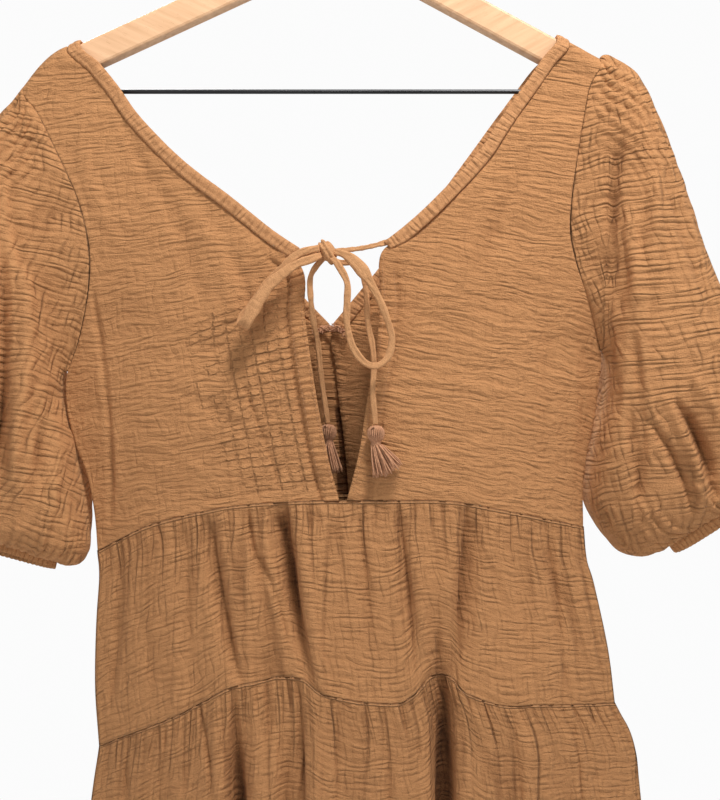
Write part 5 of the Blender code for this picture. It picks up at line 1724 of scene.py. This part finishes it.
@dataclass
class Ring:
    """A flattened ring of cloth in the sleeve or the cuff."""

    inner: tuple[float, float]
    outer: tuple[float, float]
    depth: float

    def half(self, sign: float, count: int) -> Array:
        """Return the half ring on one side, from its outer end to its inner end."""
        angles = np.linspace(0.0, math.pi, 61)
        along = np.sign(np.cos(angles)) * np.abs(np.cos(angles)) ** (2.0 / RING_POWER)
        across = np.abs(np.sin(angles)) ** (2.0 / RING_POWER)
        centre = (np.asarray(self.inner) + np.asarray(self.outer)) / 2
        reach = (np.asarray(self.outer) - np.asarray(self.inner)) / 2
        level = [centre[0] + reach[0] * along, sign * self.depth * across, centre[1] + reach[1] * along]
        return resample(np.stack(level, axis=1), count)

    def points(self, count: int) -> Array:
        """Return the full ring."""
        return join_halves(self.half(-1.0, count), self.half(1.0, count))


def join_halves(front: Array, back: Array) -> Array:
    """Return a full ring from a front and a back half that both run outer to inner."""
    return np.vstack([front, back[-2:0:-1]])


@dataclass
class Cuff:
    """The ribbed elastic band at a sleeve's end."""

    side: Side
    wall: float = 2.2

    def down(self) -> Array:
        """Return the way down through the cuff."""
        inner_x, inner_z, outer_x, outer_z = CUFF_SECTION[self.side][:4]
        along = np.array([outer_x - inner_x, 0.0, outer_z - inner_z])
        along /= np.linalg.norm(along)
        down = np.array([along[2], 0.0, -along[0]])
        return down if down[2] < 0 else -down

    def ring(self, count: int, lower: float, wider: float = 0.0) -> Array:
        """Return the cuff's ring, moved down along the cuff by lower and out by wider."""
        inner_x, inner_z, outer_x, outer_z, depth, rise = CUFF_SECTION[self.side]
        along = np.array([outer_x - inner_x, outer_z - inner_z])
        along *= wider / np.linalg.norm(along)
        ring = Ring((inner_x - along[0], inner_z - along[1]), (outer_x + along[0], outer_z + along[1]),
                    depth + wider)
        points = ring.points(count)
        points[:, 2] -= rise * points[:, 1] / depth
        return points + self.down() * lower

    def build(self, wardrobe: Wardrobe) -> Piece:
        """Build the band with a rib of cloth drawn in between each pair of elastic threads."""
        rows = np.linspace(0.0, CUFF_HEIGHT, 9)
        count = 230
        grid = np.array([self.ring(count, row) for row in rows])
        centre = grid.mean(axis=1, keepdims=True)
        normals = grid_normals(grid, True, grid - centre)
        u, v = cloth_lengths(grid)
        seed = 91 + (self.side is Side.RIGHT)
        ribs = int(u.max() / 3.4)
        phase = u / u.max() * ribs + 0.35 * lattice(u, v, 9.0, 9.0, seed)
        height = 0.95 * (2.0 * np.abs(np.sin(math.pi * phase)) ** 0.7 - 1.0)
        height += 0.3 * lattice(u, v, 12.0, 4.0, seed + 1)
        height *= 0.75 + 0.25 * np.sin(v / CUFF_HEIGHT * math.pi)
        grid = grid + normals * height[..., None]
        normals = grid_normals(grid, True, grid - centre)
        piece = add_shell(f"cuff_{self.side.value}_cloth", grid, normals, self.wall, True, wardrobe.cuff)
        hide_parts(f"cuff_{self.side.value}")
        return piece


@dataclass
class Sleeve:
    """A full sleeve, gathered at its cap and drawn in at its cuff."""

    side: Side
    count: int = 21
    step: float = 2.1
    coarse: Array = field(init=False)

    def __post_init__(self) -> None:
        """Lay out the sleeve's rings from the armhole down."""
        cuff = Cuff(self.side)
        rings = [self.armhole()]
        for inner_x, inner_z, outer_x, outer_z, depth in SLEEVE_SECTIONS[self.side]:
            rings.append(Ring((inner_x, inner_z), (outer_x, outer_z), depth).points(self.count))
        low = len(CUFF_TILT)
        for ring, row, share in zip(rings[-low:], SLEEVE_SECTIONS[self.side][-low:], CUFF_TILT):
            ring[:, 2] -= share * CUFF_SECTION[self.side][5] * ring[:, 1] / row[4]
        rings += [cuff.ring(self.count, -up, wider) for up, wider in CUFF_ENTRY]
        self.coarse = np.array(rings)

    def armhole(self) -> Array:
        """Return the first ring, just outside the two panels' armhole edges."""
        front, back = (self.armhole_half(layer) for layer in Layer)
        front[0] = back[0] = (front[0] + back[0]) / 2
        front[-1] = back[-1] = (front[-1] + back[-1]) / 2
        return join_halves(front, back)

    def armhole_half(self, layer: Layer) -> Array:
        """Return points just outside one panel's armhole edge, from shoulder to underarm."""
        grid = BodicePanel(layer, self.side).coarse[:13]
        edge = grid[:, -1]
        outward = unit(edge - grid[:, -2])
        ring = edge - outward * 0.5
        ring[-1] = edge[-1] + np.array([self.side.out * 0.2, 0.0, 0.2])
        return np.vstack([ring[:2], resample(ring[2:], self.count - 2)])

    def build(self, wardrobe: Wardrobe) -> Piece:
        """Build the sleeve with its folds, gathers, creases and crinkle."""
        grid = refine(self.coarse, self.step, around=True)
        centres = grid.mean(axis=1, keepdims=True)
        normals = grid_normals(grid, True, grid - centres)
        down = spread(grid)
        shares = down / down[-1]
        around = 2.0 * np.arange(grid.shape[1]) / grid.shape[1]
        height = np.zeros(grid.shape[:2])
        for place, start, end, width, depth in SLEEVE_FOLDS[self.side]:
            middle, half = (start + end) / 2, (end - start) / 2
            height -= depth * dip((shares - middle) / half)[:, None] * dip((around - place) / width)[None]
        u, v = cloth_lengths(grid)
        seed = 101 + 13 * (self.side is Side.RIGHT)
        height += self.cap_gathers(shares, around)
        height += self.cuff_gathers(u, v, seed)
        x, z = grid[..., 0], grid[..., 2]
        height += 1.9 * crease_field(x, z, SLEEVE_CREASES[self.side]) * self.face(grid, -1.0)
        height += 1.5 * crease_field(x, z, SLEEVE_BACK_CREASES[self.side]) * self.face(grid, 1.0)
        laid = front_map(grid, THREAD_ANGLE["sleeve"][self.side])
        height += 1.5 * lattice(u, v, 24.0, 60.0, seed + 2) + 0.4 * lattice(*laid, 16.0, 7.0, seed + 3)
        height += 0.25 * lattice(*laid, 7.0, 13.0, seed + 4)
        near_end = held(np.minimum(shares, 1.0 - shares) / 0.02)
        dipped = SEAM_DIP * dip(down / 3.4)
        grid = grid + normals * (height * near_end[:, None] - dipped[:, None])[..., None]
        tuck = 9.0 * dip((shares - 0.48) / 0.46)[:, None] * dip((around - 1.13) / 0.22)[None]
        grid[..., 0] -= self.side.out * tuck
        grid[..., 1] += 1.1 * tuck
        normals = grid_normals(grid, True, grid - centres)
        seam = np.broadcast_to(down[:, None], grid.shape[:2])
        piece = add_shell(f"sleeve_{self.side.value}_cloth", grid, normals, WALL, True, wardrobe.sleeve,
                          laid, seam)
        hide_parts(f"sleeve_{self.side.value}")
        return piece

    def face(self, grid: Array, sign: float) -> Array:
        """Return how far each point belongs to one face of the sleeve."""
        return held(0.5 + sign * grid[..., 1] / 12.0)

    def cap_gathers(self, shares: Array, around: Array) -> Array:
        """Return the height of the gathers at the sleeve's head."""
        from_top = np.minimum(around, 2.0 - around)
        fade = np.interp(shares, CAP_ROWS, CAP_SHARE)[:, None]
        wander = 0.5 * np.sin(9.0 * around + 1.0)[None] * held(shares * 3)[:, None]
        wave = 2.0 * np.abs(np.sin(math.pi * CAP_GATHERS * from_top[None] / CAP_SPREAD + wander)) ** 0.8 - 1.0
        return 1.5 * CAP_HEIGHT * wave * fade * dip(from_top / CAP_SPREAD)[None]

    def cuff_gathers(self, u: Array, v: Array, seed: int) -> Array:
        """Return the height of the gathers that the cuff draws in."""
        above = v.max() - v
        return GatherRow(52, 2.3, (24.0, 95.0), seed).height(u, above)


# Ties, bow and tassels

@dataclass
class Ties:
    """The straps, the bow's loops, the tails and the knot, all of one flat sewn tie."""

    thick: float = 2.6
    step: float = 1.1

    def path(self, name: str) -> Array:
        """Return the fine centre line of one part of the tie."""
        route = TIE_ROUTES[name][1]
        return smooth_line(route, int(line_length(np.array(route)) / self.step) + 2)

    def width(self, name: str) -> Array:
        """Return the tie's width at each point of one of its parts."""
        share = np.linspace(0.0, 1.0, len(self.path(name)))
        width = TIE_ROUTES[name][0] * (1.0 + 0.07 * np.sin(share * 37.0) + 0.05 * np.sin(share * 81.0 + 1.0))
        if "strap" in name:
            rise, taper = (0.6, 3.5) if "right" in name else (0.95, 2.0)
            width *= 1.0 + rise * held(1.0 - share * taper)
        else:
            width *= np.clip(0.72 + share * 6.0, 0.72, 1.0)
        if name == "bow_loop_right":
            width *= 1.0 + 0.8 * np.exp(-((share - 0.88) / 0.07) ** 2)
        if name == "bow_loop_left":
            width *= 1.15 + 0.75 * np.sin(share * math.pi) ** 2
        return width

    def band(self, name: str, wardrobe: Wardrobe) -> Piece:
        """Build one stretch of the flat tie, its face turned out of the cloth."""
        path = self.path(name)
        width = self.width(name)
        looks = np.array([0.25 if "left" in name else -0.25, -1.0, 0.15])
        facing = np.tile(looks / np.linalg.norm(looks), (len(path), 1))
        piece = add_band(f"{name}_cloth", path, width, self.thick, wardrobe.tie, facing, pucker=0.05,
                         folded=name == "bow_loop_left")
        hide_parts(name)
        return piece

    def knot(self, wardrobe: Wardrobe) -> Piece:
        """Build the knot: a small tight wrap with the tie's turns creased into it."""
        bm = bmesh.new()
        bmesh.ops.create_uvsphere(bm, u_segments=40, v_segments=26, radius=0.5)
        size = np.array(KNOT_SIZE)
        points = np.array([v.co for v in bm.verts])
        faces = [[v.index for v in f.verts] for f in bm.faces]
        bm.free()
        turn = np.arctan2(points[:, 1], points[:, 0])
        lift = 0.95 * np.abs(np.sin(points[:, 0] * 8.6 + points[:, 2] * 3.4 + 0.5)) ** 0.7 - 0.55
        lift += 0.12 * np.sin(turn * 9.0 + points[:, 2] * 7.0)
        placed = points * size * (1.0 + 0.24 * lift[:, None]) + np.array(KNOT_CENTRE)
        placed[:, 0] -= KNOT_TILT * (placed[:, 2] - KNOT_CENTRE[2])
        piece = add_mesh("bow_knot_cloth", placed, faces, wardrobe.tie)
        lay_points(piece.data, np.stack([turn * 5.0, points[:, 2] * 15.0], axis=1))
        mark_points(piece.data, "seam", np.full(len(points), NO_SEAM))
        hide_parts("bow_knot")
        return piece


@dataclass
class Tassel:
    """A yarn tassel with a round head, a wound neck and a skirt of single yarns."""

    name: str
    strands: int = 72
    length: float = 24.5
    head_yarns: int = 26
    neck_z: float = -13.0

    def build(self, wardrobe: Wardrobe) -> Piece:
        """Build the tassel as one piece of yarn."""
        top = np.array(TASSEL_TOPS[self.name])
        lean = TASSEL_LEANS[self.name]
        rng = np.random.default_rng(7 if "left" in self.name else 8)
        runs = [self.head_yarn(k) for k in range(self.head_yarns)]
        runs += [self.neck_yarn()]
        for k in range(self.strands):
            ring = math.sqrt((k + 0.5) / self.strands)
            turn = k * GOLDEN_TURN
            root = np.array([3.9 * ring * math.cos(turn), 3.9 * ring * math.sin(turn), self.neck_z])
            reach = self.length * rng.uniform(0.86, 1.0)
            swing = lean + ring * math.cos(turn) * SKIRT_FAN[self.name]
            share = np.linspace(0.0, 1.0, 8)[:, None]
            tip = np.array([math.sin(swing) * reach, root[1] * 1.7, self.neck_z - math.cos(swing) * reach])
            bow = np.array([rng.uniform(-0.8, 0.8), rng.uniform(-0.5, 0.5), 0.0])
            runs.append(root * (1 - share) + tip * share + bow * np.sin(share * math.pi))
        piece = add_threads(f"{self.name}_yarn", [run + top for run in runs], 0.5, 6, wardrobe.tassel)
        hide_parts(self.name)
        return piece

    def head_yarn(self, number: int) -> Array:
        """Return one yarn that runs over the head from its top to its neck."""
        heights = np.array([0.0, -1.0, -3.0, -6.1, -9.0, -11.0, -12.2, -13.6])
        radii = np.array([0.7, 3.6, 5.5, 5.9, 5.0, 3.3, 2.5, 3.5])
        turn = 2 * math.pi * number / self.head_yarns + np.linspace(0.0, 0.35, len(heights))
        return np.stack([radii * np.cos(turn), radii * np.sin(turn), heights], axis=1)

    def neck_yarn(self) -> Array:
        """Return the yarn wound round the neck."""
        turn = np.linspace(0.0, 2 * math.pi * 4.0, 64)
        return np.stack([3.3 * np.cos(turn), 3.3 * np.sin(turn), -11.4 - turn * 0.05], axis=1)


@dataclass
class BarTack:
    """The bar tack on the far side's V, with a few threads left long."""

    def build(self, wardrobe: Wardrobe) -> Piece:
        """Build the tack as a dense row of threads and its frayed ends."""
        centre, size = np.array(TACK_CENTRE), np.array(TACK_SIZE)
        rng = np.random.default_rng(5)
        runs = []
        for x in np.arange(-size[0] / 2, size[0] / 2, 0.75):
            top = centre + np.array([x, -size[1] * 0.3, size[2] / 2])
            low = centre + np.array([x + 0.5, -size[1] * 0.3, -size[2] / 2])
            share = np.linspace(0.0, 1.0, 5)[:, None]
            bulge = np.array([0.0, -0.35, 0.0]) * np.sin(share * math.pi)
            runs.append(top * (1 - share) + low * share + bulge)
        for x in np.linspace(-12.0, 12.0, 60):
            start = centre + np.array([x, -size[1] * 0.6, 2.0 - 0.035 * x * x + rng.uniform(-1.5, 1.0)])
            share = np.linspace(0.0, 1.0, 7)[:, None]
            drop = np.array([rng.uniform(-3.2, 3.2), -rng.uniform(0.2, 1.4), rng.uniform(-4.4, 1.6)])
            side = np.array([rng.uniform(-1.4, 1.4), 0.0, rng.uniform(-1.0, 1.0)])
            runs.append(start + drop * share + side * np.sin(share * math.pi * 1.6))
        piece = add_threads("back_tack_threads", runs, 0.42, 6, wardrobe.tassel)
        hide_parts("back_tack")
        return piece


@dataclass
class Hanger:
    """The wooden hanger: two arms, a bar and a wire hook."""

    def dress(self, nodes: dict[str, Piece], wardrobe: Wardrobe) -> None:
        """Give the hanger's solids their finishes."""
        finishes = {f"hanger_arm_{side.value}": wardrobe.wood[side] for side in Side}
        finishes |= {"hanger_bar": wardrobe.bar, "hanger_hook": wardrobe.wire}
        for name, material in finishes.items():
            for slot in nodes[name].material_slots:
                slot.material = material


@dataclass
class Studio:
    """A pale room with soft lights and the photograph's camera."""

    lens: float = 51.7

    def camera(self) -> None:
        """Place the camera level in front of the bodice."""
        data = bpy.data.cameras.new("camera")
        data.sensor_width = SENSOR_SIZE
        data.lens = self.lens
        data.clip_start, data.clip_end = 0.01, 20.0
        thing = bpy.data.objects.new("camera", data)
        thing.location = (CAMERA_AIM[0] * MM, -CAMERA_DISTANCE * MM, CAMERA_AIM[1] * MM)
        thing.rotation_euler = (math.radians(90.0), 0.0, 0.0)
        bpy.context.scene.collection.objects.link(thing)
        bpy.context.scene.camera = thing

    def light(self, name: str, place: tuple[float, float, float], size: float, power: float,
              aim: tuple[float, float, float] = (0.0, 0.0, -0.4)) -> None:
        """Add a square soft light that looks at a point."""
        data = bpy.data.lights.new(name, "AREA")
        data.size = size
        data.energy = power
        thing = bpy.data.objects.new(name, data)
        thing.location = place
        way = np.array(aim) - np.array(place)
        flat = math.hypot(way[0], way[1])
        thing.rotation_euler = (math.atan2(flat, -way[2]), 0.0, math.atan2(way[1], way[0]) - math.pi / 2)
        bpy.context.scene.collection.objects.link(thing)

    def room(self) -> None:
        """Add the pale plain floor."""
        material, nodes, shader = start_material("pale floor", 0.9)
        place = nodes.add("ShaderNodeTexCoord").outputs["Object"]
        patch = nodes.noise(place, 1.3, 2.0)
        nodes.join(blend_colours(nodes, patch, ((0.2, (0.86, 0.86, 0.86)), (0.8, (0.9, 0.9, 0.9)))),
                   shader.inputs["Base Color"])
        corners = ((-2600.0, -2600.0), (2600.0, -2600.0), (2600.0, 1500.0), (-2600.0, 1500.0))
        mesh = bpy.data.meshes.new("floor")
        mesh.from_pydata([(x * MM, y * MM, FLOOR_Z * MM) for x, y in corners], [], [(0, 1, 2, 3)])
        mesh.materials.append(material)
        thing = bpy.data.objects.new("floor", mesh)
        bpy.context.scene.collection.objects.link(thing)

    def lights(self) -> None:
        """Add the key light from above, the fill, a light on the far side and the pale surround."""
        self.light("key", (0.27, -0.62, 0.78), 0.26, 18.0, (0.03, 0.0, -0.35))
        self.light("fill", (-0.7, -1.7, -0.1), 1.4, 5.9)
        self.light("side", (1.1, -0.9, 0.1), 0.7, 3.0)
        self.light("far side", (-0.7, 1.5, 0.5), 0.8, 24.0)
        world = bpy.data.worlds.new("soft surround")
        world.use_nodes = True
        nodes = Nodes(world.node_tree)
        seen = nodes.add("ShaderNodeLightPath").outputs["Is Camera Ray"]
        strength = nodes.ranged(seen, 0.0, 1.0, 0.3, 0.97)
        surround = world.node_tree.nodes["Background"]
        surround.inputs[0].default_value = (1.0, 1.0, 1.0, 1.0)
        nodes.join(strength, surround.inputs[1])
        bpy.context.scene.world = world
        bpy.context.scene.view_settings.view_transform = "Standard"


def declare_cords(ties: Ties) -> None:
    """Log each free part of the tie and how long it is."""
    for name in ("tie_strap_right", "bow_loop_left", "bow_loop_right", "tie_tail_left", "tie_tail_right"):
        path = ties.path(name)
        length = line_length(path)
        float(ties.width(name).mean() * MM)
        LOG.info("cord %s %.1f mm", name, length)


def main() -> None:
    """Build the garment on its hanger and log the free tie parts' lengths."""
    logging.basicConfig(level=logging.INFO, format="%(name)s: %(message)s")
    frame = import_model()
    studio = Studio()
    studio.camera()
    wardrobe = Wardrobe()
    ties = Ties()
    bands = {name: ties.band(name, wardrobe) for name in TIE_ROUTES}
    tassels = {name: Tassel(name).build(wardrobe) for name in TASSEL_TOPS}
    declare_cords(ties)
    ties.knot(wardrobe)
    for layer in Layer:
        for side in Side:
            panel = BodicePanel(layer, side, step=1.9 if layer is Layer.FRONT else 2.6).build(wardrobe)
            Binding(layer, side).build(wardrobe)
    for side in Side:
        sleeve = Sleeve(side).build(wardrobe)
        Cuff(side).build(wardrobe)
    for layer in Layer:
        step = 1.8 if layer is Layer.FRONT else 2.6
        upper = TierPanel("tier1", layer, step).build(wardrobe)
        lower = TierPanel("tier2", layer, step, 3.4, 0.45).build(wardrobe)
    BarTack().build(wardrobe)
    Hanger().dress(frame["nodes"], wardrobe)
    studio.room()
    studio.lights()


if __name__ == "__main__":
    main()
